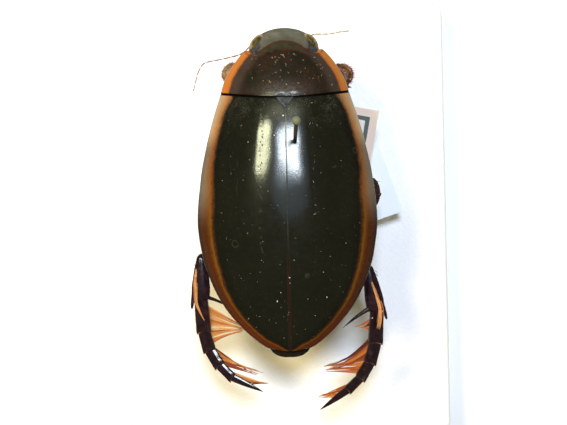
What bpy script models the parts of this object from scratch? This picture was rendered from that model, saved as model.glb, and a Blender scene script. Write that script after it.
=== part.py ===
"""A pinned museum specimen of a male great diving beetle, life size, with its pin, two labels and a base.

The beetle is modelled in its own frame, in millimetres: x to its right, v forward along the midline from
the base of the wing cases, z up from the plane of their outer margin. The meshes are scaled to metres at
the end, and an empty carries the beetle to its height above the table.
"""

import math

import bmesh
import bpy
import numpy as np
from mathutils import Matrix, Vector

MM = 0.001
GAP = 0.3  # clearance kept between pieces that touch
MARGIN_Z = 24.0  # height of the wing cases' margin above the table
BASE_OF_ELYTRA_Y = 13.5  # how far the base of the wing cases lies in front of the stand's middle

# Half width of the back seen from above, from the tail to the front corners of the pronotum.
OUTLINE = (
    (-27.95, 1.5), (-27.6, 1.95), (-27.0, 3.0), (-25.2, 5.1), (-22.6, 7.2), (-19.9, 8.55), (-17.3, 9.4),
    (-13.4, 9.9), (-8.5, 9.45), (-5.0, 8.75), (-2.4, 8.05), (0.5, 7.1), (2.0, 6.63), (3.7, 5.66),
    (4.9, 4.72), (5.6, 3.95),
)
# Height of the back above its margin, and depth of the belly under it, along the midline.
BACK_HEIGHT = ((-27.95, 0.7), (-26.0, 1.7), (-23.0, 3.0), (-19.0, 4.25), (-14.0, 5.1), (-9.0, 5.35),
               (-4.0, 5.15), (0.0, 4.6), (3.0, 3.8), (5.6, 2.75))
BELLY_DEPTH = ((-28.4, 1.1), (-26.0, 1.7), (-22.0, 2.75), (-17.0, 3.7), (-12.0, 4.4), (-7.0, 4.6),
               (-2.0, 4.2), (2.0, 3.6), (5.6, 2.5))
MARGIN_RISE = ((-28.4, 0.25), (-22.0, 0.0), (-15.0, -0.35), (-8.0, -0.4), (0.0, -0.1), (5.6, 0.0))
BACK_POWER, BACK_FULLNESS = 2.2, 0.8
BELLY_POWER, BELLY_FULLNESS = 1.8, 0.9

SHELL = 0.6  # thickness of the back plates
SKIRT = 0.35  # height of their rim below the margin
RIM_WIDTH = 0.55
SIDE_WALL = 0.5  # height of the body's flank between its top and its belly

HIND_EDGE_V = -0.3  # middle of the pronotum's hind edge
HIND_EDGE_RISE = 0.93  # how far its corners lie in front of its middle
FRONT_EDGE_V = 5.3
FRONT_EDGE_DIP = 0.45
FRONT_CORNER_RISE = 0.2
ELYTRA_TIP_V = -27.75
TIP_ROUNDING = 0.25

SCUTELLUM_HALF_WIDTH, SCUTELLUM_TIP_V = 0.98, -1.52
SCUTELLUM_THICKNESS = 0.5

HEAD_CENTRE = (0.0, 5.0, -0.1)
HEAD_RADII = (3.9, 2.74, 2.5)
HEAD_SLOPE = 0.25  # how much the head drops for each millimetre forward
EYE_CENTRE = (2.92, 6.05, -0.05)
EYE_RADII = (0.98, 1.05, 1.25)

# Where the plates of the underside meet, on the midline and at the flank.
COXAL_PLATE_FRONT = (-11.2, 4.2)
COXAL_PLATE_REAR = (-15.6, 2.0)
ABDOMEN_END_V = -26.4
STERNITE_EDGES = (-17.4, -19.3, -21.2, -23.1, -25.0)
STERNITE_STEP = 0.14
TAIL_TIP_V = -28.4

PIN_RADIUS = 0.3
PIN_HEAD_RADIUS = 0.55
PIN_LENGTH = 38.0
PIN_LEAN = math.radians(5.0)
PIN_ENTRY = (0.95, -5.05, 5.0)  # where the pin goes into the right wing case
PIN_FOOT_Z = 3.5

BASE_SIZE = (40.0, 54.0, 8.0)
BASE_EDGE = 0.8
LABEL_THICKNESS = 0.5
# Width, length, turn in degrees, height of the top above the table, and offset of its middle from the pin.
LABELS = {
    "label_upper": (16.8, 12.0, -11.0, 15.0, (0.54, 1.39)),
    "label_lower": (21.0, 13.0, 18.5, 11.5, (0.0, -3.45)),
}

ANTENNA_RADIUS, ANTENNA_TIP_RADIUS = 0.27, 0.17
ANTENNA_SEGMENTS = 11
ANTENNAE = {
    "left": ((-2.9, 6.9, -1.8), (-3.9, 5.95, -1.75), (-4.85, 5.2, -1.6), (-6.6, 4.71, -1.3),
             (-8.75, 4.25, -1.2), (-9.57, 3.2, -1.2), (-9.86, 2.15, -1.25), (-10.16, 1.1, -1.3)),
    "right": ((2.85, 6.95, -1.8), (3.4, 7.25, -1.6), (4.9, 7.18, -1.2), (6.2, 7.37, -1.15),
              (7.0, 7.5, -1.5), (7.25, 7.5, -2.6), (7.3, 7.45, -4.1), (7.2, 7.35, -5.3)),
}

# Leg segments as start and end points, hip to foot. The hind feet bend at each of their joints.
LEGS = {
    "left": {
        "fore_coxa": (-1.35, 2.5, -3.6),
        "fore_femur": ((-2.5, 2.15, -4.1), (-3.9, 0.3, -4.0)),
        "fore_tibia": ((-4.6, 0.6, -3.7), (-4.65, 3.7, -3.35)),
        "fore_foot": ((-4.72, 4.25, -2.85), (-5.55, 3.1, -2.45), (-6.45, 1.5, -2.7)),
        "mid_coxa": (-2.35, -3.5, -4.0),
        "mid_femur": ((-3.3, -4.25, -4.65), (-6.2, -7.2, -4.05), (-8.8, -9.9, -2.8)),
        "mid_tibia": ((-8.95, -10.6, -2.95), (-5.5, -13.7, -5.2)),
        "mid_foot": ((-5.2, -13.95, -5.42), (-3.4, -15.9, -6.0), (-1.5, -17.9, -6.2)),
        "hind_femur": ((-1.9, -15.0, -4.8), (-5.5, -16.2, -4.4), (-9.15, -17.05, -3.2)),
        "hind_tibia": ((-9.75, -17.2, -2.9), (-9.95, -22.2, -2.9)),
        "hind_foot": ((-9.87, -22.6, -2.95), (-9.66, -25.66, -3.0), (-9.14, -27.7, -3.1),
                      (-8.1, -29.47, -3.2), (-6.73, -30.92, -3.3), (-3.27, -32.62, -3.5)),
    },
    "right": {
        "fore_coxa": (1.35, 2.5, -3.6),
        "fore_femur": ((2.5, 2.15, -4.1), (4.6, 0.1, -4.0)),
        "fore_tibia": ((5.3, 0.4, -3.7), (5.3, 3.4, -3.35)),
        "fore_foot": ((5.42, 3.95, -2.85), (6.3, 2.75, -2.4), (7.2, 1.15, -2.65)),
        "mid_coxa": (2.35, -3.5, -4.0),
        "mid_femur": ((3.3, -4.25, -4.65), (6.8, -7.3, -4.05), (10.15, -10.0, -2.6)),
        "mid_tibia": ((10.3, -10.75, -2.75), (5.9, -13.8, -5.2)),
        "mid_foot": ((5.6, -14.05, -5.42), (3.8, -16.0, -6.0), (1.9, -18.1, -6.2)),
        "hind_femur": ((1.9, -15.1, -4.8), (5.3, -16.9, -4.4), (8.45, -18.4, -3.2)),
        "hind_tibia": ((8.95, -18.8, -2.9), (9.8, -23.85, -2.9)),
        "hind_foot": ((9.8, -24.3, -2.95), (9.62, -27.31, -3.0), (9.02, -29.45, -3.1),
                      (7.96, -31.22, -3.2), (6.59, -32.55, -3.3), (3.35, -34.83, -3.5)),
    },
}
COXA_RADII = (0.85, 1.05, 0.85)
HIND_FOOT_WIDTHS = (0.85, 0.75, 0.68, 0.56, 0.42)  # half widths of the five joints
HIND_FOOT_DEPTH = 0.45
CLAW_TIP = 0.1
# Swimming hair that has dried into pointed tufts: first and last joint it grows on, and the tuft's tip.
FOOT_TUFTS = {
    "left": ((0.1, 1.8, (-4.7, -25.5, -3.4)), (2.1, 3.7, (-3.3, -30.3, -3.7)), (4.1, 4.6, (-2.5, -31.7, -3.8))),
    "right": ((0.1, 0.7, (6.0, -25.3, -3.4)), (0.9, 2.8, (4.2, -30.2, -3.7)), (3.9, 4.4, (3.0, -33.3, -3.8))),
}
TUFT_LOCKS = 6
LOCK_WIDTH, LOCK_DEPTH = 0.5, 0.5
SPUR_LENGTH = 3.2
SPUR_RADIUS = 0.26
PALETTE_RADII = (1.45, 1.3, 0.32)
SUCKERS = 6


def profile(table, at):
    """Values at some stations on the smooth curve through a table of stations and values."""
    stations, values = np.array(sorted(table)).T
    steps = np.diff(stations)
    rises = np.diff(values) / steps
    slopes = np.zeros(len(stations))
    slopes[0], slopes[-1] = rises[0], rises[-1]
    for k in range(1, len(stations) - 1):
        if rises[k - 1] * rises[k] > 0:
            slopes[k] = 2 * rises[k - 1] * rises[k] / (rises[k - 1] + rises[k])
    at = np.clip(at, stations[0], stations[-1])
    k = np.clip(np.searchsorted(stations, at, side="right") - 1, 0, len(steps) - 1)
    u = (at - stations[k]) / steps[k]
    return (
        values[k] * (1 + 2 * u) * (1 - u) ** 2
        + slopes[k] * steps[k] * u * (1 - u) ** 2
        + values[k + 1] * u * u * (3 - 2 * u)
        - slopes[k + 1] * steps[k] * u * u * (1 - u)
    )


def back_arch(t):
    """Height of the back over its margin as a share of its height on the midline, at t of its half width."""
    return (1 - np.minimum(np.abs(t), 1) ** BACK_POWER) ** BACK_FULLNESS


def belly_arch(t):
    return (1 - np.minimum(np.abs(t), 1) ** BELLY_POWER) ** BELLY_FULLNESS


def point_grid(x, v, z):
    return np.stack(np.broadcast_arrays(x, v, z), axis=-1)


def outer_back(t, v, drop=0.0):
    """Points on the outside of the back plates. Drop is 1 on the lower edge of their rim."""
    width = profile(OUTLINE, v) - 0.1 * drop
    z = profile(MARGIN_RISE, v) - SKIRT * drop + profile(BACK_HEIGHT, v) * back_arch(t) * (1 - drop)
    return point_grid(width * t, v, z)


def inner_back(t, v, drop=0.0):
    """Points on the inside of the back plates, one shell thickness further in."""
    width = profile(OUTLINE, v) - RIM_WIDTH + 0.2 * drop
    height = profile(BACK_HEIGHT, v) + SKIRT - SHELL
    z = profile(MARGIN_RISE, v) - SKIRT + height * back_arch(t) * (1 - drop)
    return point_grid(width * t, v, z)


def body_half_width(v):
    return profile(OUTLINE, v) - RIM_WIDTH - GAP


def body_top(t, v):
    height = profile(BACK_HEIGHT, v) + SKIRT - SHELL - GAP
    z = profile(MARGIN_RISE, v) - SKIRT + np.maximum(height, 0) * back_arch(t)
    return point_grid(body_half_width(v) * t, v, z)


def sternite_relief(v):
    """How far the belly plates' hind edges stand out, each sloping back in to the front of the next."""
    relief = np.zeros_like(v)
    fronts = (COXAL_PLATE_REAR[0],) + STERNITE_EDGES
    for front, rear in zip(fronts, STERNITE_EDGES + (ABDOMEN_END_V,)):
        inside = (v <= front) & (v > rear)
        relief = np.where(inside, STERNITE_STEP * (front - v) / (front - rear), relief)
    return relief


def body_bottom(t, v, relief=0.0):
    depth = profile(BELLY_DEPTH, v) - SKIRT - SIDE_WALL
    z = profile(MARGIN_RISE, v) - SKIRT - SIDE_WALL - depth * belly_arch(t) - relief
    return point_grid(body_half_width(v) * t, v, z)


def pronotum_hind_edge(t):
    return HIND_EDGE_V + HIND_EDGE_RISE * t**2


def pronotum_front_edge(t):
    dip = (1 - np.cos(2 * np.pi * np.abs(t) ** 1.5)) / 2
    return FRONT_EDGE_V - FRONT_EDGE_DIP * dip + FRONT_CORNER_RISE * t**4


def between(first, last, share):
    return first + (last - first) * share


def closed_pair(upper, lower):
    """A closed mesh between two equal grids of points, with both faces split along the same diagonals."""
    rows, columns = upper.shape[:2]
    bm = bmesh.new()
    sheets = [[[bm.verts.new(p) for p in row] for row in grid] for grid in (upper, lower)]
    top, bottom = sheets
    for i in range(rows - 1):
        for j in range(columns - 1):
            for sheet, turn in ((top, 1), (bottom, -1)):
                a, b = sheet[i][j], sheet[i][j + 1]
                c, d = sheet[i + 1][j + 1], sheet[i + 1][j]
                bm.faces.new((a, b, c)[::turn])
                bm.faces.new((a, c, d)[::turn])
    border = [(0, j) for j in range(columns)] + [(i, columns - 1) for i in range(1, rows)]
    border += [(rows - 1, j) for j in range(columns - 2, -1, -1)] + [(i, 0) for i in range(rows - 2, 0, -1)]
    for (i, j), (k, m) in zip(border, border[1:] + border[:1]):
        bm.faces.new((top[i][j], bottom[i][j], bottom[k][m], top[k][m]))
    return bm


def ellipsoid(centre, radii, around=16, up=10):
    bm = bmesh.new()
    bmesh.ops.create_uvsphere(bm, u_segments=around, v_segments=up, radius=1.0)
    bmesh.ops.scale(bm, vec=radii, verts=bm.verts)
    bmesh.ops.translate(bm, vec=centre, verts=bm.verts)
    return bm


def prism(outline, low, high):
    """A closed block with the given plan outline, from height low to height high."""
    bm = bmesh.new()
    rings = [[bm.verts.new((x, v, z)) for x, v in outline] for z in (low, high)]
    count = len(outline)
    for k in range(count):
        after = (k + 1) % count
        bm.faces.new((rings[0][k], rings[0][after], rings[1][after], rings[1][k]))
    bm.faces.new(rings[0][::-1])
    bm.faces.new(rings[1])
    return bm


def box(low, high):
    return prism([(low[0], low[1]), (high[0], low[1]), (high[0], high[1]), (low[0], high[1])], low[2], high[2])


def smooth_path(points, count):
    """Points evenly spaced on a smooth curve through some given ones."""
    points = np.array(points, float)
    lengths = np.concatenate([[0], np.cumsum(np.linalg.norm(np.diff(points, axis=0), axis=1))])
    at = np.linspace(0, lengths[-1], count)
    return np.stack([profile(list(zip(lengths, axis)), at) for axis in points.T], axis=-1)


def sweep(path, widths, depths, sides=8, up=(0.0, 0.0, 1.0)):
    """A closed tube along path. Widths are its half widths across, and depths its half depths along up."""
    bm = bmesh.new()
    rings = []
    for k, centre in enumerate(path):
        tangent = Vector(path[min(k + 1, len(path) - 1)]) - Vector(path[max(k - 1, 0)])
        side = tangent.cross(Vector(up)).normalized()
        lift = side.cross(tangent).normalized()
        ring = []
        for n in range(sides):
            angle = 2 * math.pi * (n + 0.5) / sides
            offset = side * math.cos(angle) * widths[k] + lift * math.sin(angle) * depths[k]
            ring.append(bm.verts.new(Vector(centre) + offset))
        rings.append(ring)
    for first, second in zip(rings, rings[1:]):
        for n in range(sides):
            after = (n + 1) % sides
            bm.faces.new((first[n], first[after], second[after], second[n]))
    bm.faces.new(rings[0][::-1])
    bm.faces.new(rings[-1])
    return bm


def limb(points, widths, depths, stations=7, sides=8):
    """A leg segment through some points, with rounded ends. Widths and depths run from start to end."""
    path = smooth_path(points, stations)
    share = np.linspace(0, 1, stations)
    rounding = np.minimum(np.sqrt(1 - (1 - np.minimum(share / 0.15, 1)) ** 2 * 0.7), 1)
    rounding = rounding * rounding[::-1]
    at = np.linspace(0, 1, len(widths))
    return sweep(path, np.interp(share, at, widths) * rounding, np.interp(share, at, depths) * rounding, sides)


def spike(root, tip, width, depth, sag=0.0, stations=4, sides=4):
    """A flat tapering lock, spur or claw from root to tip. Sag bends its middle down."""
    share = np.linspace(0, 1, stations)
    path = np.array(root) + np.outer(share, np.array(tip) - np.array(root))
    path[:, 2] -= sag * 4 * share * (1 - share)
    taper = 1 - 0.9 * share**1.5
    return sweep(path, width / 2 * taper, depth / 2 * taper, sides)


def add(name, bm, material=None, parent=None):
    """A mesh object of the scene, still in millimetres."""
    bmesh.ops.recalc_face_normals(bm, faces=bm.faces)
    mesh = bpy.data.meshes.new(name)
    bm.to_mesh(mesh)
    bm.free()
    obj = bpy.data.objects.new(name, mesh)
    bpy.context.scene.collection.objects.link(obj)
    obj.parent = parent
    if material:
        mesh.materials.append(material)
    return obj


def keep_largest(mesh):
    """Leaves only the mesh's largest closed surface."""
    bm = bmesh.new()
    bm.from_mesh(mesh)
    bmesh.ops.triangulate(bm, faces=bm.faces)
    bm.faces.ensure_lookup_table()
    unseen, islands = set(bm.faces), []
    while unseen:
        island, border = set(), [next(iter(unseen))]
        while border:
            face = border.pop()
            if face in unseen:
                unseen.remove(face)
                island.add(face)
                border += [other for edge in face.edges for other in edge.link_faces]
        islands.append(island)
    volumes = [abs(sum(f.verts[0].co.dot(f.verts[1].co.cross(f.verts[2].co)) for f in i)) for i in islands]
    scraps = [f for n, island in enumerate(islands) if n != int(np.argmax(volumes)) for f in island]
    bmesh.ops.delete(bm, geom=scraps, context="FACES")
    bm.to_mesh(mesh)
    bm.free()


def combine(obj, tools, operation):
    """Joins the tools to obj, or cuts them from it, with one Boolean, and removes them."""
    group = bpy.data.collections.new("tools")
    bpy.context.scene.collection.children.link(group)
    for tool in tools:
        bpy.context.scene.collection.objects.unlink(tool)
        group.objects.link(tool)
    boolean = obj.modifiers.new("combine", "BOOLEAN")
    boolean.operation = operation
    boolean.operand_type = "COLLECTION"
    boolean.collection = group
    material = obj.data.materials[0] if obj.data.materials else None
    result = bpy.data.meshes.new_from_object(obj.evaluated_get(bpy.context.evaluated_depsgraph_get()))
    obj.modifiers.clear()
    result.materials.clear()
    if material:
        result.materials.append(material)
    result.polygons.foreach_set("material_index", [0] * len(result.polygons))
    obj.data = result
    for tool in tools:
        bpy.data.objects.remove(tool)
    bpy.data.collections.remove(group)
    keep_largest(obj.data)


def fuse(name, pieces, material, parent):
    """One object from several closed pieces that overlap."""
    obj = add(name, pieces[0], material, parent)
    combine(obj, [add("piece", piece) for piece in pieces[1:]], "UNION")
    return obj


def cut(obj, pieces):
    combine(obj, [add("cutter", piece) for piece in pieces], "DIFFERENCE")


def finish_material(name, colour, roughness, metallic=0.0):
    material = bpy.data.materials.new(name)
    material.use_nodes = True
    shader = material.node_tree.nodes["Principled BSDF"]
    shader.inputs["Base Color"].default_value = (*colour, 1.0)
    shader.inputs["Roughness"].default_value = roughness
    shader.inputs["Metallic"].default_value = metallic
    return material


def pin_point(z):
    """The pin's axis at a height above the margin."""
    x, v, entry_z = PIN_ENTRY
    return Vector((x, v + math.tan(PIN_LEAN) * (z - entry_z), z))


def pin_cylinder(radius, low, high, sides=12):
    path = [pin_point(low), pin_point(high)]
    return sweep(path, [radius] * 2, [radius] * 2, sides, up=(0.0, 1.0, 0.0))


def pin_hole(low, high):
    return pin_cylinder(PIN_RADIUS + GAP, low, high)


def make_pronotum(shell, parent):
    angles = np.radians(np.linspace(-90, 90, 17))
    t = np.concatenate([[-1.0], np.sin(angles), [1.0]])
    drop = np.concatenate([[1.0], np.zeros(len(angles)), [1.0]])
    share = np.linspace(0, 1, 8)[:, None]
    v = between(pronotum_hind_edge(t) + GAP / 2, pronotum_front_edge(t), share)
    return add("pronotum", closed_pair(outer_back(t, v, drop), inner_back(t, v, drop)), shell, parent)


def make_elytron(side, shell, parent):
    """One wing case, from the pronotum's hind edge to the tail."""
    sign = -1 if side == "left" else 1
    t = np.concatenate([np.sin(np.radians(np.linspace(0, 90, 10))), [1.0]])
    drop = np.concatenate([np.zeros(10), [1.0]])
    share = np.linspace(0, 1, 21)[:, None]
    v = between(pronotum_hind_edge(t) - GAP / 2, ELYTRA_TIP_V + TIP_ROUNDING * t**2, share)
    sheets = []
    for surface in (outer_back, inner_back):
        points = surface(t, v, drop)
        reach = points[..., 0]
        points[..., 0] = GAP / 2 + reach * (1 - GAP / 2 / reach[:, -1:])
        points[..., 0] *= sign
        sheets.append(points)
    elytron = add(f"elytron_{side}", closed_pair(*sheets), shell, parent)
    cut(elytron, [scutellum_notch()] + ([pin_hole(0.0, 9.0)] if side == "right" else []))
    return elytron


def scutellum_notch():
    """The opening for the scutellum, one gap wider on each side and running out past the pronotum's edge."""
    slope = SCUTELLUM_HALF_WIDTH / (HIND_EDGE_V - GAP / 2 - SCUTELLUM_TIP_V)
    tip = SCUTELLUM_TIP_V - GAP / math.sin(math.atan(slope))
    front = 0.8
    half = slope * (front - tip)
    return prism([(-half, front), (0.0, tip), (half, front)], 0.0, 8.0)


def make_scutellum(shell, parent):
    share = np.linspace(0, 1, 4)[:, None]
    v = between(HIND_EDGE_V - GAP / 2, SCUTELLUM_TIP_V, share)
    half = between(SCUTELLUM_HALF_WIDTH, 0.04, share)
    across = np.linspace(-1, 1, 5)
    top = profile(BACK_HEIGHT, v) + profile(MARGIN_RISE, v) - 0.03
    crown = 0.04 * (1 - across**2)
    upper = point_grid(half * across, v, top + crown)
    lower = point_grid(half * across, v, top - SCUTELLUM_THICKNESS)
    return add("scutellum", closed_pair(upper, lower), shell, parent)


def body_block(name, front, rear, rows, material, parent, columns=17):
    """A length of the body under the back plates, between two edges that are functions of t."""
    t = np.sin(np.radians(np.linspace(-90, 90, columns)))
    share = np.linspace(0, 1, rows)[:, None]
    v = between(front(t), rear(t), share)
    return add(name, closed_pair(body_top(t, v), body_bottom(t, v)), material, parent)


def coxal_front(t):
    middle, rise = COXAL_PLATE_FRONT
    return middle + rise * np.abs(t) ** 1.5


def coxal_rear(t):
    middle, rise = COXAL_PLATE_REAR
    return middle + rise * np.minimum(np.abs(t) / 0.35, 1) ** 2


def make_abdomen(material, parent):
    """The belly rings behind the hind coxae, with a pair of rows at each ring's edge for its small step."""
    t = np.sin(np.radians(np.linspace(-90, 90, 17)))
    stations = [coxal_rear(t) - GAP]
    for edge in STERNITE_EDGES:
        stations += [np.full_like(t, edge + 0.04), np.full_like(t, edge - 0.04)]
    stations.append(np.full_like(t, ABDOMEN_END_V))
    v = np.array(stations)
    return add("abdomen", closed_pair(body_top(t, v), body_bottom(t, v, sternite_relief(v))), material, parent)


def make_tail(material, parent):
    """The last body ring, which shows behind the tips of the wing cases."""
    t = np.linspace(-1, 1, 9)
    share = np.linspace(0, 1, 4)[:, None]
    front = ABDOMEN_END_V - GAP
    v = between(front, TAIL_TIP_V + 0.75 * t**2, share)
    half = between(2.9, 1.95, share)
    top = float(profile(MARGIN_RISE, TAIL_TIP_V)) - SKIRT - GAP
    crown = 0.15 * (1 - t**2)
    upper = point_grid(half * t, v, top - 0.15 + crown * (1 - share) - 0.15 * share)
    lower = point_grid(half * t, v, top - 0.75 - 0.6 * (1 - t**2) * (1 - share))
    return add("tail_ring", closed_pair(upper, lower), material, parent)


def make_head(shell, parent):
    head = ellipsoid(HEAD_CENTRE, HEAD_RADII, 22, 14)
    for vert in head.verts:
        vert.co.z -= HEAD_SLOPE * (vert.co.y - HEAD_CENTRE[1])
    head = add("head", head, shell, parent)
    eyes = [eye_shape(sign, GAP) for sign in (-1, 1)]
    mouth = box((-2.1, 6.1, -4.0), (2.1, 9.0, -1.15))
    cut(head, [collar(), mouth, *eyes])
    return head


def collar():
    """Everything behind the pronotum's front edge, and a gap in front of it that is wider as the edge slants."""
    t = np.linspace(-1, 1, 21)
    v = pronotum_front_edge(t)
    edge = list(zip(t * (profile(OUTLINE, v) - RIM_WIDTH), v + 1.5 * GAP))
    edge = [(-4.8, float(v[0]) + 1.5 * GAP)] + edge + [(4.8, float(v[-1]) + 1.5 * GAP)]
    return prism([(-4.8, 1.0), (4.8, 1.0)] + edge[::-1], -5.0, 5.0)


def eye_shape(sign, grow=0.0):
    centre = (sign * EYE_CENTRE[0], EYE_CENTRE[1], EYE_CENTRE[2])
    return ellipsoid(centre, [radius + grow for radius in EYE_RADII], 14, 9)


def make_mouthparts(shell, parent):
    """Upper lip, a pair of jaws, and the lower lip with its feelers, stacked in the mouth's notch."""
    lip = [(-1.35, 6.4), (1.35, 6.4), (1.2, 7.1), (0.5, 7.35), (0.0, 7.25), (-0.5, 7.35), (-1.2, 7.1)]
    add("upper_lip", prism(lip, -1.9, -1.45), shell, parent)
    for side, sign in (("left", -1), ("right", 1)):
        jaw = [(1.7, 6.4), (1.75, 6.9), (1.1, 7.3), (0.2, 7.2), (0.9, 6.9), (0.6, 6.4)]
        jaw = [(sign * x, v) for x, v in jaw][::sign]
        add(f"mandible_{side}", prism(jaw, -2.7, -2.2), shell, parent)
    pieces = [prism([(-1.3, 6.4), (1.3, 6.4), (1.0, 7.0), (-1.0, 7.0)], -3.5, -3.0)]
    for sign in (-1, 1):
        outer = [(sign * 1.0, 6.6, -3.25), (sign * 2.0, 7.0, -3.3), (sign * 2.9, 6.9, -3.2), (sign * 3.4, 6.3, -3.1)]
        inner = [(sign * 0.5, 6.7, -3.3), (sign * 0.75, 7.3, -3.35), (sign * 1.2, 7.55, -3.3)]
        for points in (outer, inner):
            pieces.append(limb(points, (0.27, 0.25, 0.27, 0.18), (0.25, 0.25, 0.27, 0.18), 9, 6))
    fuse("lower_lip_and_palps", pieces, shell, parent)


def make_antenna(side, material, parent):
    """Eleven joints, each swelling a little towards its far end."""
    stations = 3 * ANTENNA_SEGMENTS + 1
    path = smooth_path(ANTENNAE[side], stations)
    share = np.linspace(0, 1, stations)
    radii = between(ANTENNA_RADIUS, ANTENNA_TIP_RADIUS, share)
    swell = np.array([(0.86, 0.95, 1.08)[k % 3] for k in range(stations)])
    return add(f"antenna_{side}", sweep(path, radii * swell, radii * swell, 6), material, parent)


def leg_object(part, side, pieces, material, parent):
    name = f"{part}_{side}"
    if len(pieces) == 1:
        return add(name, pieces[0], material, parent)
    return fuse(name, pieces, material, parent)


def make_fore_leg(side, legs, dark, parent):
    leg_object("fore_coxa", side, [ellipsoid(legs["fore_coxa"], COXA_RADII, 10, 6)], dark, parent)
    femur = limb(legs["fore_femur"], (0.35, 0.72, 0.62, 0.45), (0.32, 0.5, 0.45, 0.35))
    leg_object("fore_femur", side, [femur], dark, parent)
    tibia = limb(legs["fore_tibia"], (0.35, 0.45, 0.52), (0.3, 0.3, 0.34))
    leg_object("fore_tibia", side, [tibia], dark, parent)
    leg_object("fore_foot", side, suction_foot(side, legs["fore_foot"]), dark, parent)


def suction_foot(side, points):
    """The male's fore foot: three joints widened into one round pad with suckers, two more, and two claws."""
    root, middle, tip = (np.array(p) for p in points)
    pieces = [ellipsoid(tuple(middle), PALETTE_RADII, 16, 6)]
    pieces.append(limb([root, between(root, middle, 0.6)], (0.3, 0.45), (0.28, 0.25), 4, 6))
    along = (tip - middle) / np.linalg.norm(tip - middle)
    edge = middle + along * 1.1
    pieces.append(limb([edge, between(edge, tip, 0.75)], (0.32, 0.28), (0.25, 0.26), 4, 6))
    across = np.array([-along[1], along[0], 0.0])
    start = between(edge, tip, 0.65)
    for sign in (-1, 1):
        claw_tip = tip + across * 0.35 * sign + np.array([0.0, 0.0, -0.25])
        pieces.append(spike(start, claw_tip, 0.34, 0.34, -0.1))
    for n in range(SUCKERS):
        angle = 2 * math.pi * n / SUCKERS
        spot = middle + np.array([math.cos(angle) * 0.8, math.sin(angle) * 0.7, -0.22])
        pieces.append(ellipsoid(tuple(spot), (0.27, 0.27, 0.22), 6, 4))
    return pieces


def make_mid_leg(side, legs, dark, parent):
    leg_object("mid_coxa", side, [ellipsoid(legs["mid_coxa"], COXA_RADII, 10, 6)], dark, parent)
    femur = limb(legs["mid_femur"], (0.35, 0.8, 0.75, 0.55), (0.32, 0.5, 0.5, 0.42), 8)
    leg_object("mid_femur", side, [femur], dark, parent)
    start, end = (np.array(p) for p in legs["mid_tibia"])
    pieces = [limb((start, end), (0.42, 0.5, 0.58), (0.34, 0.34, 0.38))]
    along = (end - start) / np.linalg.norm(end - start)
    across = np.array([-along[1], along[0], 0.0])
    for sign in (-1, 1):
        root = end - along * 0.4 + across * 0.32 * sign
        pieces.append(spike(root, root + along * 1.3 + across * 0.75 * sign, 0.4, 0.4))
    leg_object("mid_tibia", side, pieces, dark, parent)
    leg_object("mid_foot", side, jointed_foot(legs["mid_foot"]), dark, parent)


def jointed_foot(points):
    """Five short joints and two claws."""
    path = smooth_path(points, 6)
    pieces = []
    for k in range(5):
        root = between(path[k], path[k + 1], -0.15 if k else 0.0)
        pieces.append(limb((root, path[k + 1]), (0.26, 0.36), (0.24, 0.28), 4, 6))
    along = (path[-1] - path[-2]) / np.linalg.norm(path[-1] - path[-2])
    across = np.array([-along[1], along[0], 0.0])
    for sign in (-1, 1):
        root = path[-1] - along * 0.25 + across * 0.07 * sign
        tip = path[-1] + along * 0.7 + across * 0.4 * sign - np.array([0.0, 0.0, 0.1 + 0.03 * sign])
        pieces.append(spike(root, tip, 0.34, 0.34))
    return pieces


def make_hind_leg(side, legs, dark, parent):
    femur = limb(legs["hind_femur"], (0.5, 1.15, 1.05, 0.7), (0.4, 0.62, 0.6, 0.45), 9, 10)
    leg_object("hind_femur", side, [femur], dark, parent)
    leg_object("hind_tibia", side, swimming_tibia(side, legs["hind_tibia"]), dark, parent)
    leg_object("hind_foot", side, swimming_foot(side, legs["hind_foot"]), dark, parent)


def swimming_tibia(side, points):
    """The short broad shin, its two spurs, and the swimming hair that lies along its outer edge."""
    outward = -1 if side == "left" else 1
    start, end = (np.array(p) for p in points)
    pieces = [limb((start, end), (0.5, 0.85, 1.05, 1.0), (0.42, 0.45, 0.45, 0.42), 7, 10)]
    along = (end - start) / np.linalg.norm(end - start)
    inward = np.array([-outward, 0.0, 0.0])
    root = end + inward * 0.7 - along * 0.35
    tip = root + inward * SPUR_LENGTH * 0.9 + along * SPUR_LENGTH * 0.42
    pieces.append(spike(root, tip, 2 * SPUR_RADIUS, 2 * SPUR_RADIUS, 0.15, 5, 6))
    root = end - inward * 0.85 - along * 0.5
    pieces.append(spike(root, root + along * 1.6 - inward * 0.35, 0.5, 0.5, 0.0, 4, 6))
    for n in range(4):
        share = n / 3
        root = between(start, end, 0.15 + 0.6 * share) - inward * (0.45 + 0.3 * share) + np.array([0, 0, 0.12])
        tip = end + along * (1.6 - 1.1 * share) + inward * (0.35 - 0.5 * share) + np.array([0, 0, 1.15])
        pieces.append(spike(root, tip, LOCK_WIDTH, LOCK_DEPTH, -0.3, 5))
    return pieces


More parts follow.
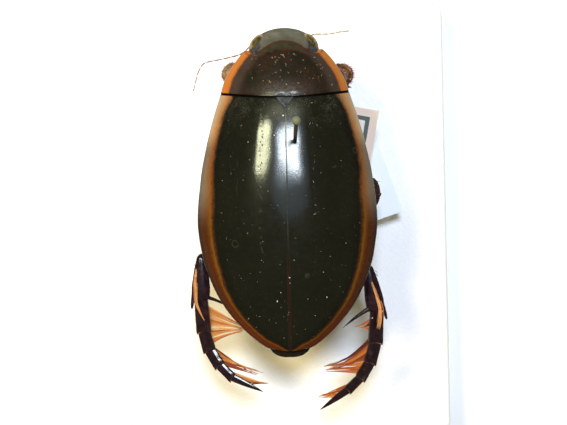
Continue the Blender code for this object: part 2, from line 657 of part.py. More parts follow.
def swimming_foot(side, points):
    """Five flattened joints with pointed outer corners, ending in a single claw, and tufts of swimming hair."""
    outward = -1 if side == "left" else 1
    points = np.array(points)
    path, widths, depths = [], [], []
    corners = []
    for k, half in enumerate(HIND_FOOT_WIDTHS):
        start, end = points[k], points[k + 1]
        depth = HIND_FOOT_DEPTH * (1 - 0.1 * k)
        end_half, end_depth = (CLAW_TIP, CLAW_TIP) if k == 4 else (half, depth)
        for share, across, deep in ((0.03, half * 0.86, depth * 0.85), (0.5, half * (1 if k < 4 else 0.75), depth),
                                    (0.97, end_half, end_depth)):
            path.append(between(start, end, share))
            widths.append(across)
            depths.append(deep)
        if k < 4:
            along, sideways = foot_axes(start, end, outward)
            corner = end - along * 0.5 + sideways * (half - 0.25)
            corners.append(spike(corner, corner + along * 0.85 + sideways * 0.22, 0.42, 0.42, 0.0, 3))
    pieces = [sweep(path, widths, depths, 8)] + corners
    for first, last, tip in FOOT_TUFTS[side]:
        pieces += tuft(points, outward, first, last, np.array(tip))
    return pieces


def foot_axes(start, end, outward):
    """Directions along a joint of the hind foot, and across it to the foot's outer edge."""
    along = (end - start) / np.linalg.norm(end - start)
    sideways = np.array([along[1], -along[0], 0.0])
    return along, sideways * np.sign(sideways[0]) * outward


def tuft(points, outward, first, last, tip):
    """Locks that leave the foot's inner edge side by side and gather to one point."""
    locks = []
    for n in range(TUFT_LOCKS):
        share = n / (TUFT_LOCKS - 1)
        at = between(first, last, share)
        k = min(int(at), 4)
        start, end = points[k], points[k + 1]
        sideways = foot_axes(start, end, outward)[1]
        root = between(start, end, at - k) - sideways * HIND_FOOT_WIDTHS[k] * 0.35 - np.array([0.0, 0.0, 0.05])
        spread = np.array([0.0, (share - 0.5) * 0.35, 0.0])
        end_point = tip + spread - (tip - root) * 0.06 * (n % 3)
        locks.append(spike(root, end_point, LOCK_WIDTH, LOCK_DEPTH, 0.1, 3))
    return locks


def socket(legs, name):
    return ellipsoid(legs[name], [radius + GAP for radius in COXA_RADII], 10, 6)


def make_underside(dark, parent):
    """The body under the back plates: chest, breast, hind coxal plates, belly and tail ring."""
    sockets = {part: [socket(LEGS[side], part) for side in LEGS] for part in ("fore_coxa", "mid_coxa")}
    chest = body_block("chest", lambda t: pronotum_front_edge(t) - GAP / 2,
                       lambda t: pronotum_hind_edge(t) + GAP / 2, 6, dark, parent)
    cut(chest, sockets["fore_coxa"])
    breast = body_block("breast", lambda t: pronotum_hind_edge(t) - GAP / 2,
                        lambda t: coxal_front(t) + GAP / 2, 8, dark, parent)
    cut(breast, sockets["mid_coxa"] + [pin_hole(-8.0, 9.0)])
    body_block("hind_coxal_plates", lambda t: coxal_front(t) - GAP / 2, coxal_rear, 5, dark, parent)
    make_abdomen(dark, parent)
    make_tail(dark, parent)


def make_beetle(materials, parent):
    shell, dark, horn, amber = materials
    make_pronotum(shell, parent)
    make_scutellum(shell, parent)
    make_head(shell, parent)
    make_mouthparts(horn, parent)
    make_underside(dark, parent)
    for side, sign in (("left", -1), ("right", 1)):
        make_elytron(side, shell, parent)
        cut(add(f"eye_{side}", eye_shape(sign), amber, parent), [collar()])
        make_antenna(side, horn, parent)
        make_fore_leg(side, LEGS[side], dark, parent)
        make_mid_leg(side, LEGS[side], dark, parent)
        make_hind_leg(side, LEGS[side], dark, parent)


def make_pin(metal, parent):
    foot = PIN_FOOT_Z - MARGIN_Z
    top = foot + PIN_LENGTH * math.cos(PIN_LEAN)
    knob = ellipsoid(pin_point(top), (PIN_HEAD_RADIUS, PIN_HEAD_RADIUS, PIN_HEAD_RADIUS * 0.8), 14, 8)
    fuse("pin", [pin_cylinder(PIN_RADIUS, foot, top), knob], metal, parent)


def make_label(name, card, parent):
    """A card on the pin. Its middle may lie off the pin, and it is turned about it."""
    width, length, turn, top, (aside, ahead) = LABELS[name]
    high = top - MARGIN_Z
    block = box((aside - width / 2, ahead - length / 2, high - LABEL_THICKNESS),
                (aside + width / 2, ahead + length / 2, high))
    centre = pin_point(high)
    place = Matrix.Translation((centre.x, centre.y, 0.0)) @ Matrix.Rotation(math.radians(turn), 4, "Z")
    block.transform(place)
    label = add(name, block, card, parent)
    cut(label, [pin_hole(high - 2.0, high + 2.0)])


def make_base(foam, parent):
    """The stand's block, with the hole that the pin is pushed into."""
    half_x, half_y, height = BASE_SIZE[0] / 2, BASE_SIZE[1] / 2, BASE_SIZE[2]
    centre_v = -BASE_OF_ELYTRA_Y
    low, high = -MARGIN_Z, height - MARGIN_Z
    block = box((-half_x, centre_v - half_y, low), (half_x, centre_v + half_y, high))
    top_edges = [e for e in block.edges if all(vert.co.z > high - 0.1 for vert in e.verts)]
    bmesh.ops.bevel(block, geom=top_edges, offset=BASE_EDGE, segments=2, affect="EDGES", profile=0.5)
    base = add("stand_base", block, foam, parent)
    cut(base, [pin_hole(PIN_FOOT_Z - GAP - MARGIN_Z, high + 1.0)])


def main():
    for obj in list(bpy.data.objects):
        bpy.data.objects.remove(obj)
    specimen = bpy.data.objects.new("specimen", None)
    bpy.context.scene.collection.objects.link(specimen)
    specimen.location = (0.0, BASE_OF_ELYTRA_Y * MM, MARGIN_Z * MM)
    shell = finish_material("black_shell", (0.03, 0.03, 0.02), 0.25)
    dark = finish_material("dark_brown_horn", (0.05, 0.02, 0.02), 0.35)
    horn = finish_material("amber_horn", (0.35, 0.14, 0.05), 0.4)
    amber = finish_material("eye_surface", (0.3, 0.24, 0.1), 0.3)
    make_beetle((shell, dark, horn, amber), specimen)
    make_pin(finish_material("pin_steel", (0.1, 0.1, 0.1), 0.3, 1.0), specimen)
    card = finish_material("card", (0.9, 0.88, 0.84), 0.8)
    for name in LABELS:
        make_label(name, card, specimen)
    make_base(finish_material("white_foam", (0.92, 0.92, 0.92), 0.9), specimen)
    for obj in bpy.data.objects:
        if obj.type == "MESH":
            obj.data.transform(Matrix.Scale(MM, 4))
            obj.data.shade_smooth()
            obj.data.set_sharp_from_angle(angle=math.radians(40))


main()
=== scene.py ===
"""The looks of a pinned museum specimen of a male great diving beetle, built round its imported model.

Shapes are made in the beetle's own frame, in millimetres: x to its right, v forward along the midline from
the base of the wing cases, z up from the plane of their outer margin. They are placed in metres at the end.
"""

import math

import bmesh
import bpy
import numpy as np
from mathutils import Matrix, Vector


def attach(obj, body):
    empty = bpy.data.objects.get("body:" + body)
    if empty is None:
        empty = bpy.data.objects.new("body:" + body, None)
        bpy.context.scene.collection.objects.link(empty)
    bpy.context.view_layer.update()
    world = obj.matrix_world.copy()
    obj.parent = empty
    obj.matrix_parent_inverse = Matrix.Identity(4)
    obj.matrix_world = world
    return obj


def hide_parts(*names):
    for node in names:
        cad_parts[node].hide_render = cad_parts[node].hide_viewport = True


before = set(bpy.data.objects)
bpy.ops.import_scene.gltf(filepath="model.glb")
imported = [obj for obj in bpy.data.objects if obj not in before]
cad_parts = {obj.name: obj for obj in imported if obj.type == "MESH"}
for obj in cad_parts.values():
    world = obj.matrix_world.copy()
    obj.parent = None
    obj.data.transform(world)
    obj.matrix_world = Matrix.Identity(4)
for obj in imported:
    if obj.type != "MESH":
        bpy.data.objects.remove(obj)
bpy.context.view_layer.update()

MM = 0.001
MARGIN_Z = 24.0  # height of the wing cases' margin above the table
BASE_OF_ELYTRA_Y = 13.5  # how far the base of the wing cases lies in front of the stand's middle
ORIGIN = np.array([0.0, BASE_OF_ELYTRA_Y, MARGIN_Z])

# Half width of the back seen from above, from the tail to the front corners of the pronotum.
OUTLINE = (
    (-27.95, 1.5), (-27.6, 1.95), (-27.0, 3.0), (-25.2, 5.1), (-22.6, 7.2), (-19.9, 8.55), (-17.3, 9.4),
    (-13.4, 9.9), (-8.5, 9.45), (-5.0, 8.75), (-2.4, 8.05), (0.5, 7.1), (2.0, 6.63), (3.7, 5.66),
    (4.9, 4.72), (5.6, 3.95),
)
# Height of the back above its margin, and depth of the belly under it, along the midline.
BACK_HEIGHT = ((-27.95, 0.7), (-26.0, 1.7), (-23.0, 3.0), (-19.0, 4.25), (-14.0, 5.1), (-9.0, 5.35),
               (-4.0, 5.15), (0.0, 4.6), (3.0, 3.8), (5.6, 2.75))
BELLY_DEPTH = ((-28.4, 1.1), (-26.0, 1.7), (-22.0, 2.75), (-17.0, 3.7), (-12.0, 4.4), (-7.0, 4.6),
               (-2.0, 4.2), (2.0, 3.6), (5.6, 2.5))
MARGIN_RISE = ((-28.4, 0.25), (-22.0, 0.0), (-15.0, -0.35), (-8.0, -0.4), (0.0, -0.1), (5.6, 0.0))
BACK_POWER, BACK_FULLNESS = 2.2, 0.8
BELLY_POWER, BELLY_FULLNESS = 1.8, 0.9
SHELL = 0.6
SKIRT = 0.35
RIM_WIDTH = 0.55
SIDE_WALL = 0.5
GAP = 0.3  # clearance between the solids, which the pieces here close up
JOINT = 0.05  # the fine gap that shows between the back plates
JOINT_COLOUR = (0.003, 0.0025, 0.002)
SUTURE = 0.02  # the gap between the two wing cases

HIND_EDGE_V = -0.3
HIND_EDGE_RISE = 0.93
FRONT_EDGE_V = 5.04
FRONT_EDGE_DIP = 0.55
FRONT_CORNER_RISE = 0.33
ELYTRA_TIP_V = -27.58
TIP_ROUNDING = 0.25
SCUTELLUM_HALF_WIDTH, SCUTELLUM_TIP_V = 0.98, -1.52

# Width of the orange band along the side of the wing cases, from the tail to the shoulders.
BAND_WIDTH = (
    (-27.9, 2.5), (-27.0, 1.9), (-26.0, 1.5), (-22.0, 1.45), (-17.0, 1.75), (-13.0, 1.82),
    (-10.5, 1.75), (-8.0, 1.4), (-5.0, 1.2), (-2.0, 1.2), (0.0, 1.55),
)
PRONOTUM_BAND_WIDTH = ((0.0, 1.02), (2.5, 1.08), (4.5, 1.22), (5.6, 1.4))
PIT_ROWS = (0.3, 0.55, 0.78)  # where the rows of pits run, as shares of a wing case's half width
HEAD_CENTRE = (0.0, 5.0, -0.1)
HEAD_RADII = (3.9, 2.87, 2.5)
HEAD_SLOPE = 0.25
EYE_CENTRE = (2.93, 6.11, 0.15)
EYE_RADII = (1.15, 0.62, 1.05)
EYE_TURN = math.radians(49.7)

COXAL_PLATE_FRONT = (-11.2, 4.2)
COXAL_PLATE_REAR = (-15.6, 2.0)
ABDOMEN_END_V = -26.4
STERNITE_EDGES = (-17.4, -19.3, -21.2, -23.1, -25.0)
STERNITE_STEP = 0.14
TAIL_TIP_V = -28.5

PIN_RADIUS = 0.2
PIN_HEAD_RADIUS = 0.42
PIN_LENGTH = 38.0
PIN_LEAN = math.radians(5.0)
PIN_ENTRY = (0.95, -5.05, 5.0)
PIN_FOOT_Z = 3.5
BASE_SIZE = (40.0, 54.0, 8.0)
BASE_EDGE = 0.8
LABEL_THICKNESS = 0.3
# Width, length, turn in degrees, height of the top above the table, and offset of its middle from the pin.
LABELS = {
    "label_upper": (16.8, 12.0, -11.0, 15.0, (0.54, 1.39)),
    "label_lower": (21.0, 13.0, 18.5, 11.5, (0.0, -3.45)),
}

ANTENNA_RADIUS, ANTENNA_TIP_RADIUS = 0.085, 0.055
ANTENNA_SEGMENTS = 11
# Thickness along one joint of a feeler or palp, as shares of its radius.
SEGMENT_FORM = (0.45, 0.72, 0.86, 0.94, 1.0, 1.06, 1.08, 0.95, 0.45)
# Plan outlines of the upper lip, the right jaw and the lower lip.
LIP_OUTLINE = ((-1.35, 6.4), (0.0, 6.35), (1.35, 6.4), (1.3, 6.95), (0.75, 7.32), (0.0, 7.2), (-0.75, 7.32),
               (-1.3, 6.95))
JAW_OUTLINE = ((1.75, 6.4), (1.75, 6.95), (1.2, 7.28), (0.55, 7.3), (0.2, 7.12), (0.75, 6.98), (0.8, 6.75),
               (0.6, 6.4))
LOWER_LIP_OUTLINE = ((-1.25, 6.45), (0.0, 6.4), (1.25, 6.45), (1.0, 6.95), (0.0, 7.05), (-1.0, 6.95))
# Points along the right outer and inner palp, and how many joints each has.
PALPS = (
    (((1.0, 6.6, -3.25), (2.0, 7.0, -3.3), (2.9, 6.9, -3.2), (3.4, 6.3, -3.1)), 4),
    (((0.5, 6.7, -3.3), (0.75, 7.3, -3.35), (1.2, 7.55, -3.3)), 3),
)
ANTENNAE = {
    "left": ((-2.9, 6.9, -1.8), (-3.9, 5.95, -1.75), (-4.85, 5.2, -1.6), (-6.6, 4.71, -1.3),
             (-8.83, 4.23, -1.2), (-9.57, 3.17, -1.2), (-9.86, 2.15, -1.25), (-10.14, 1.14, -1.3)),
    "right": ((2.85, 6.95, -1.8), (3.4, 7.25, -1.6), (4.9, 7.18, -1.2), (6.2, 7.37, -1.15),
              (7.1, 7.52, -1.5), (7.3, 7.72, -2.6), (7.4, 7.95, -4.1), (7.45, 8.1, -5.3)),
}

SIDES = (("left", -1), ("right", 1))
LEGS = {
    "left": {
        "fore_coxa": (-1.35, 2.5, -3.6),
        "fore_femur": ((-2.5, 2.15, -4.1), (-3.9, 0.3, -4.0)),
        "fore_tibia": ((-4.6, 0.6, -3.7), (-4.65, 3.7, -3.35)),
        "fore_foot": ((-4.72, 4.25, -2.85), (-5.55, 3.1, -2.45), (-6.45, 1.5, -2.7)),
        "mid_coxa": (-2.35, -3.5, -4.0),
        "mid_femur": ((-3.3, -4.25, -4.65), (-6.2, -7.2, -4.05), (-8.8, -9.9, -2.8)),
        "mid_tibia": ((-8.95, -10.6, -2.95), (-5.5, -13.7, -5.2)),
        "mid_foot": ((-5.2, -13.95, -5.42), (-3.4, -15.9, -6.0), (-1.5, -17.9, -6.2)),
        "hind_femur": ((-1.9, -15.0, -4.8), (-5.5, -16.2, -4.4), (-9.15, -17.05, -3.2)),
        "hind_tibia": ((-9.75, -17.2, -2.9), (-9.95, -22.2, -2.9)),
        "hind_foot": ((-9.87, -22.6, -2.95), (-9.66, -25.66, -3.0), (-9.14, -27.7, -3.1),
                      (-8.1, -29.47, -3.2), (-6.73, -30.92, -3.3), (-3.27, -32.62, -3.18)),
    },
    "right": {
        "fore_coxa": (1.35, 2.5, -3.6),
        "fore_femur": ((2.5, 2.15, -4.1), (4.6, 0.1, -4.0)),
        "fore_tibia": ((5.3, 0.4, -3.7), (5.3, 3.4, -3.35)),
        "fore_foot": ((5.42, 3.95, -2.85), (6.3, 2.75, -2.4), (7.2, 1.15, -2.65)),
        "mid_coxa": (2.35, -3.5, -4.0),
        "mid_femur": ((3.3, -4.25, -4.65), (6.8, -7.3, -4.05), (10.15, -10.0, -2.6)),
        "mid_tibia": ((10.3, -10.75, -2.75), (5.9, -13.8, -5.2)),
        "mid_foot": ((5.6, -14.05, -5.42), (3.8, -16.0, -6.0), (1.9, -18.1, -6.2)),
        "hind_femur": ((1.9, -15.1, -4.8), (5.3, -16.9, -4.4), (8.45, -18.4, -3.2)),
        "hind_tibia": ((8.95, -18.8, -2.9), (9.8, -23.85, -2.9)),
        "hind_foot": ((9.8, -24.3, -2.95), (9.62, -27.31, -3.0), (9.02, -29.45, -3.1),
                      (7.96, -31.22, -3.2), (6.59, -32.55, -3.3), (3.35, -34.83, -3.5)),
    },
}
COXA_RADII = (0.85, 1.05, 0.85)
HIND_FOOT_WIDTHS = (0.85, 0.75, 0.68, 0.56, 0.42)
HIND_FOOT_DEPTH = 0.45
# Slope of each joint's inner facet: positive where it leans to the inner side.
FOOT_FACETS = {"left": (-0.45, -0.25, 0.145, 0.16, 0.18), "right": (-0.5, -0.5, -0.5, -0.45, -0.45)}
# Swimming hair that has dried into fans: first and last joint it grows on, the fan's tip, how many hairs,
# how far their tips spread, their tint from pale gold to dark red, and the bow of the first and last hairs.
FOOT_FANS = {
    "left": ((0.1, 1.75, (-4.85, -25.6, -3.5), 190, 0.35, 0.34, (0.11, -0.14)),
             (2.05, 3.3, (-3.3, -30.85, -3.7), 130, 0.6, 0.62, (0.2, -0.1)),
             (3.7, 4.6, (-2.75, -31.85, -3.8), 110, 0.5, 0.52, (0.11, -0.14))),
    "right": ((0.1, 0.6, (7.6, -25.7, -3.4), 26, 1.0, 0.62, (0.11, -0.14)),
              (0.85, 2.9, (4.1, -30.3, -3.7), 200, 0.75, 0.55, (0.62, -0.12)),
              (3.8, 4.5, (3.05, -33.6, -3.8), 120, 0.4, 0.5, (0.11, -0.14))),
}
# The line of the bundle of hair that lies along each hind shin and over the foot's first joint.
BUNDLES = {
    "left": ((-10.33, -18.5, -2.55), (-10.48, -20.4, -2.4), (-10.46, -22.15, -2.3), (-10.09, -23.3, -2.25),
             (-9.5, -24.5, -2.35)),
    "right": ((9.2, -20.2, -2.5), (9.9, -22.3, -2.35), (10.22, -23.7, -2.3), (10.1, -24.9, -2.3),
              (9.85, -25.9, -2.4)),
}
# How widely the hairs of each bundle spread, from its start at 0 to its end at 79.
BUNDLE_WIDTHS = {
    "left": ((0, 0.7), (35, 1.0), (79, 0.25)),
    "right": ((0, 0.45), (30, 0.8), (50, 1.1), (79, 1.8)),
}
# How far the inner spur of each hind shin reaches inwards and along the shin, and its radius.
SPUR_REACH = {"left": (2.88, 1.34, 0.2), "right": (3.46, 2.2, 0.25)}
PALETTE_RADII = (1.45, 1.3, 0.32)
# Middle and radii of the knee that shows beside the right wing case, and of a crumb on the right hind foot.
KNEE = ((9.5, -10.5, -2.95), (1.03, 1.75, 0.5))
CRUMB = ((9.17, -24.55, -2.47), (0.2, 0.11, 0.1))
PAD_TINTS = {
    "left": ((0.13, 0.065, 0.022), (0.27, 0.16, 0.06)),
    "right": ((0.05, 0.016, 0.007), (0.19, 0.08, 0.028)),
}

CAMERA_PLACE = (-0.42, -12.51, 115.0)
CAMERA_TURN = math.radians(-1.23)
CAMERA_LENS = 66.5
LAMP_DISTANCE = 0.3
WORLD_STRENGTH, WORLD_IN_REFLECTION = 0.22, 0.12
WARM_LAMP = (0.98, 1.0, 0.66)
COOL_LAMP = (0.84, 0.94, 1.0)


def profile(table, at):
    """Values at some stations on the smooth curve through a table of stations and values."""
    stations, values = np.array(sorted(table)).T
    steps = np.diff(stations)
    rises = np.diff(values) / steps
    slopes = np.zeros(len(stations))
    slopes[0], slopes[-1] = rises[0], rises[-1]
    for k in range(1, len(stations) - 1):
        if rises[k - 1] * rises[k] > 0:
            slopes[k] = 2 * rises[k - 1] * rises[k] / (rises[k - 1] + rises[k])
    at = np.clip(at, stations[0], stations[-1])
    k = np.clip(np.searchsorted(stations, at, side="right") - 1, 0, len(steps) - 1)
    u = (at - stations[k]) / steps[k]
    return (
        values[k] * (1 + 2 * u) * (1 - u) ** 2
        + slopes[k] * steps[k] * u * (1 - u) ** 2
        + values[k + 1] * u * u * (3 - 2 * u)
        - slopes[k + 1] * steps[k] * u * u * (1 - u)
    )


def between(first, last, share):
    return first + (last - first) * share


def smooth_step(low, high, at):
    share = np.clip((at - low) / (high - low), 0, 1)
    return share * share * (3 - 2 * share)


def bump_at(at, centre, width):
    """A smooth bump of height 1 at centre."""
    return np.exp(-(((at - centre) / width) ** 2))


def spot_at(x, v, centre, size):
    """A smooth spot of height 1 at centre, in plan."""
    return np.exp(-(((x - centre[0]) / size[0]) ** 2) - ((v - centre[1]) / size[1]) ** 2)


def waves(x, y, size, seed):
    """Smooth irregular waves between about -1 and 1, of the given size in millimetres."""
    draw = np.random.default_rng(seed)
    total = 0
    for _ in range(7):
        angle, phase = draw.uniform(0, math.tau), draw.uniform(0, math.tau)
        stretch = draw.uniform(0.6, 1.5)
        height = (x * math.cos(angle) + y * math.sin(angle)) * math.tau / size * stretch
        total = total + np.sin(height + phase)
    return total / 4


def soft_minimum(a, b):
    return (np.maximum(a, 1e-3) ** -3.0 + np.maximum(b, 1e-3) ** -3.0) ** (-1 / 3)


def back_arch(t):
    """Height of the back as a share of its height on the midline, at t of its half width."""
    return (1 - np.minimum(np.abs(t), 1) ** BACK_POWER) ** BACK_FULLNESS


def belly_arch(t):
    return (1 - np.minimum(np.abs(t), 1) ** BELLY_POWER) ** BELLY_FULLNESS


def point_grid(x, v, z):
    return np.stack(np.broadcast_arrays(x, v, z), axis=-1)


def even_height(v):
    """Height of the back, evened out along it so that its highlights keep round ends."""
    offsets = np.linspace(-2.4, 2.4, 13)
    weights = np.exp(-((offsets / 1.5) ** 2))
    even = sum(w * profile(BACK_HEIGHT, v + d) for w, d in zip(weights, offsets)) / weights.sum()
    return between(profile(BACK_HEIGHT, v), even, smooth_step(-25.0, -21.0, v) * smooth_step(3.6, 1.0, v))


def outer_back(t, v, drop=0.0):
    """Points on the outside of the back plates. Drop is 1 on the lower edge of their rim."""
    width = profile(OUTLINE, v) - 0.1 * drop
    z = profile(MARGIN_RISE, v) - SKIRT * drop + even_height(v) * back_arch(t) * (1 - drop)
    return point_grid(width * t, v, z)


def inner_back(t, v, drop=0.0):
    width = profile(OUTLINE, v) - RIM_WIDTH + 0.2 * drop
    height = profile(BACK_HEIGHT, v) + SKIRT - SHELL
    z = profile(MARGIN_RISE, v) - SKIRT + height * back_arch(t) * (1 - drop)
    return point_grid(width * t, v, z)


def body_half_width(v):
    return profile(OUTLINE, v) - RIM_WIDTH - GAP


def body_top(t, v):
    height = profile(BACK_HEIGHT, v) + SKIRT - SHELL - GAP
    z = profile(MARGIN_RISE, v) - SKIRT + np.maximum(height, 0) * back_arch(t)
    return point_grid(body_half_width(v) * t, v, z)


def body_bottom(t, v):
    depth = profile(BELLY_DEPTH, v) - SKIRT - SIDE_WALL
    z = profile(MARGIN_RISE, v) - SKIRT - SIDE_WALL - depth * belly_arch(t)
    return point_grid(body_half_width(v) * t, v, z)


def pronotum_hind_edge(t):
    return HIND_EDGE_V + HIND_EDGE_RISE * t**2


def pronotum_front_edge(t):
    dip = (1 - np.cos(2 * np.pi * np.abs(t) ** 1.5)) / 2
    return FRONT_EDGE_V - FRONT_EDGE_DIP * dip + FRONT_CORNER_RISE * t**4


def pin_point(z):
    """The pin's axis at a height above the margin."""
    x, v, entry_z = PIN_ENTRY
    return np.array([x, v + math.tan(PIN_LEAN) * (z - entry_z), z])


class Shape:
    """Points, faces and values at the points, gathered for one mesh."""
    def __init__(self):
        self.points, self.faces, self.values = [], [], {}
        self.count = 0

    def add(self, points, faces, **values):
        points = np.asarray(points, float).reshape(-1, 3)
        start = self.count
        self.faces += [[k + start for k in face] for face in faces]
        self.points.append(points)
        for key, value in values.items():
            self.values.setdefault(key, []).append((start, np.broadcast_to(value, len(points)).ravel()))
        self.count += len(points)

    def column(self, key):
        column = np.zeros(self.count)
        for start, value in self.values[key]:
            column[start:start + len(value)] = value
        return column


def make(name, shape, material, nodes=(), sharp=60.0, patches=None):
    """An object of the scene from a shape, riding on the body.

    Patches are the hair roots' places on the bake's map."""
    mesh = bpy.data.meshes.new(name)
    world = (np.concatenate(shape.points) + ORIGIN) * MM
    mesh.from_pydata(world.tolist(), [], shape.faces)
    for key in shape.values:
        layer = mesh.attributes.new(key, "FLOAT", "POINT")
        layer.data.foreach_set("value", shape.column(key))
    work = bmesh.new()
    work.from_mesh(mesh)
    bmesh.ops.recalc_face_normals(work, faces=work.faces)
    work.to_mesh(mesh)
    work.free()
    if patches is not None:
        corners = np.empty(len(mesh.loops), np.int64)
        mesh.loops.foreach_get("vertex_index", corners)
        mesh.uv_layers.new(name="OFBake").data.foreach_set("uv", patches[corners].ravel())
    mesh.shade_smooth()
    mesh.set_sharp_from_angle(angle=math.radians(sharp))
    mesh.materials.append(material)
    obj = bpy.data.objects.new(name, mesh)
    bpy.context.scene.collection.objects.link(obj)
    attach(obj, "root")
    if nodes:
        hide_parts(*nodes)


def sheet_faces(rows, columns, around=False):
    """Faces of a grid of points. Around joins its last column to its first."""
    faces = []
    for i in range(rows - 1):
        row, following = i * columns, (i + 1) * columns
        for j in range(columns if around else columns - 1):
            after = (j + 1) % columns
            faces.append((row + j, row + after, following + after, following + j))
    return faces


def loft_faces(count, sides):
    """Faces of a closed body of rings of points, with a flat face at each end."""
    last = (count - 1) * sides
    ends = [tuple(range(sides))[::-1], tuple(last + n for n in range(sides))]
    return sheet_faces(count, sides, around=True) + ends


def capped_faces(count, sides):
    """Faces of rings of points that two more points close, one at each end."""
    faces = sheet_faces(count, sides, around=True)
    first, last = count * sides, count * sides + 1
    for n in range(sides):
        after = (n + 1) % sides
        faces.append((first, after, n))
        faces.append((last, (count - 1) * sides + n, (count - 1) * sides + after))
    return faces


def closed_pair(shape, upper, lower, **values):
    """A closed block between two equal grids of points. Values are grids for the upper points."""
    rows, columns = upper.shape[:2]
    size = rows * columns
    top = sheet_faces(rows, columns)
    faces = top + [tuple(k + size for k in face[::-1]) for face in top]
    border = [(0, j) for j in range(columns)] + [(i, columns - 1) for i in range(1, rows)]
    border += [(rows - 1, j) for j in range(columns - 2, -1, -1)] + [(i, 0) for i in range(rows - 2, 0, -1)]
    border = [i * columns + j for i, j in border]
    faces += [(a, b, b + size, a + size) for a, b in zip(border, border[1:] + border[:1])]
    points = np.concatenate([upper.reshape(-1, 3), lower.reshape(-1, 3)])
    doubled = {}
    for key, value in values.items():
        doubled[key] = np.tile(np.broadcast_to(value, (rows, columns)).ravel(), 2)
    shape.add(points, faces, **doubled)


def smooth_path(points, count):
    """Points evenly spaced on a smooth curve through some given ones."""
    points = np.array(points, float)
    lengths = np.concatenate([[0], np.cumsum(np.linalg.norm(np.diff(points, axis=0), axis=1))])
    at = np.linspace(0, lengths[-1], count)
    return np.stack([profile(list(zip(lengths, axis)), at) for axis in points.T], axis=-1)


def unit(vector):
    vector = np.asarray(vector, float)
    return vector / np.maximum(np.linalg.norm(vector, axis=-1, keepdims=True), 1e-12)


def tube(shape, path, widths, depths, sides=16, up=(0.0, 0.0, 1.0), **values):
    """A closed tube along path, with half widths across it and half depths along up."""
    path = np.asarray(path, float)
    tangents = unit(np.gradient(path, axis=0))
    side = unit(np.cross(tangents, up))
    lift = unit(np.cross(side, tangents))
    angles = math.tau * (np.arange(sides) + 0.5) / sides
    across, high = np.cos(angles)[None, :, None], np.sin(angles)[None, :, None]
    rings = (
        path[:, None]
        + side[:, None] * (across * np.asarray(widths)[:, None, None])
        + lift[:, None] * (high * np.asarray(depths)[:, None, None])
    )
    points = np.concatenate([
        rings.reshape(-1, 3),
        path[:1] - tangents[:1] * 0.3 * min(widths[0], depths[0]),
        path[-1:] + tangents[-1:] * 0.3 * min(widths[-1], depths[-1]),
    ])
    shape.add(points, capped_faces(len(path), sides), **values)


def limb(shape, points, widths, depths, stations=26, sides=20, round_ends=0.12):
    """A leg segment through some points, with rounded ends. Widths and depths run from start to end."""
    share = (1 - np.cos(np.linspace(0, math.pi, stations))) / 2
    dense = smooth_path(points, 60)
    path = np.stack([np.interp(share, np.linspace(0, 1, 60), axis) for axis in dense.T], axis=-1)
    from_end = np.minimum(np.minimum(share, 1 - share) / round_ends, 1)
    rounding = np.sqrt(1 - (1 - from_end) ** 2 * 0.93)
    at = np.linspace(0, 1, len(widths))
    width = profile(list(zip(at, widths)), share) * rounding
    depth = profile(list(zip(at, depths)), share) * rounding
    tube(shape, path, width, depth, sides)


def ball(shape, centre, radii, around=40, up=24, bend=None, **values):
    """A closed rounded body. Bend moves its points."""
    angles = math.tau * np.arange(around) / around
    heights = np.linspace(-math.pi / 2, math.pi / 2, up + 2)[1:-1, None]
    level = np.cos(heights)
    rings = point_grid(level * np.cos(angles), level * np.sin(angles), np.sin(heights)).reshape(-1, 3)
    points = np.concatenate([rings, [(0.0, 0.0, -1.0), (0.0, 0.0, 1.0)]])
    points = points * np.array(radii) + np.array(centre)
    if bend:
        points = bend(points)
    shape.add(points, capped_faces(up, around), **values)
    return points


def strands(shape, paths, radius, tip_radius=0.006, **values):
    """Hairs as three-sided tapering rods. Paths holds one row of points for each hair."""
    paths = np.asarray(paths, float)
    hairs, count = paths.shape[:2]
    tangents = unit(np.gradient(paths, axis=1))
    side = unit(np.cross(tangents, (0.05, 0.02, 1.0)))
    lift = np.cross(side, tangents)
    angles = math.tau * np.arange(3) / 3 + math.pi / 6
    cos, sin = np.cos(angles)[:, None], np.sin(angles)[:, None]
    share = np.linspace(0, 1, count)
    thick = (radius * (1 - share**1.5) + tip_radius)[None, :, None, None]
    rings = paths[:, :, None] + thick * (side[:, :, None] * cos + lift[:, :, None] * sin)
    one = loft_faces(count, 3)
    faces = [[k + n * count * 3 for k in face] for n in range(hairs) for face in one]
    spread = {key: np.repeat(np.broadcast_to(value, hairs), count * 3) for key, value in values.items()}
    shape.add(rings, faces, share=np.tile(np.repeat(share, 3), hairs), **spread)


def curve_between(roots, tips, bend, count):
    """Rows of points from roots to tips, bowed by bend at their middle."""
    share = np.linspace(0, 1, count)[None, :, None]
    return roots[:, None] * (1 - share) + tips[:, None] * share + 4 * share * (1 - share) * bend[:, None]


def hair_patches(roots, count):
    """Where each hair's points lie on the bake's map: a patch at its root's place on the limb's unwrap.

    Roots are pairs of shares, along the limb and around it."""
    low, high, size = 0.02, 0.98, 0.003
    share = np.repeat(np.linspace(0, 1, count), 3)
    side = np.tile(np.array([0.0, 0.5, 1.0]), count)
    patch = np.stack([share, side], axis=-1) * size
    return (between(low, high, roots)[:, None] + patch[None]).reshape(-1, 2)


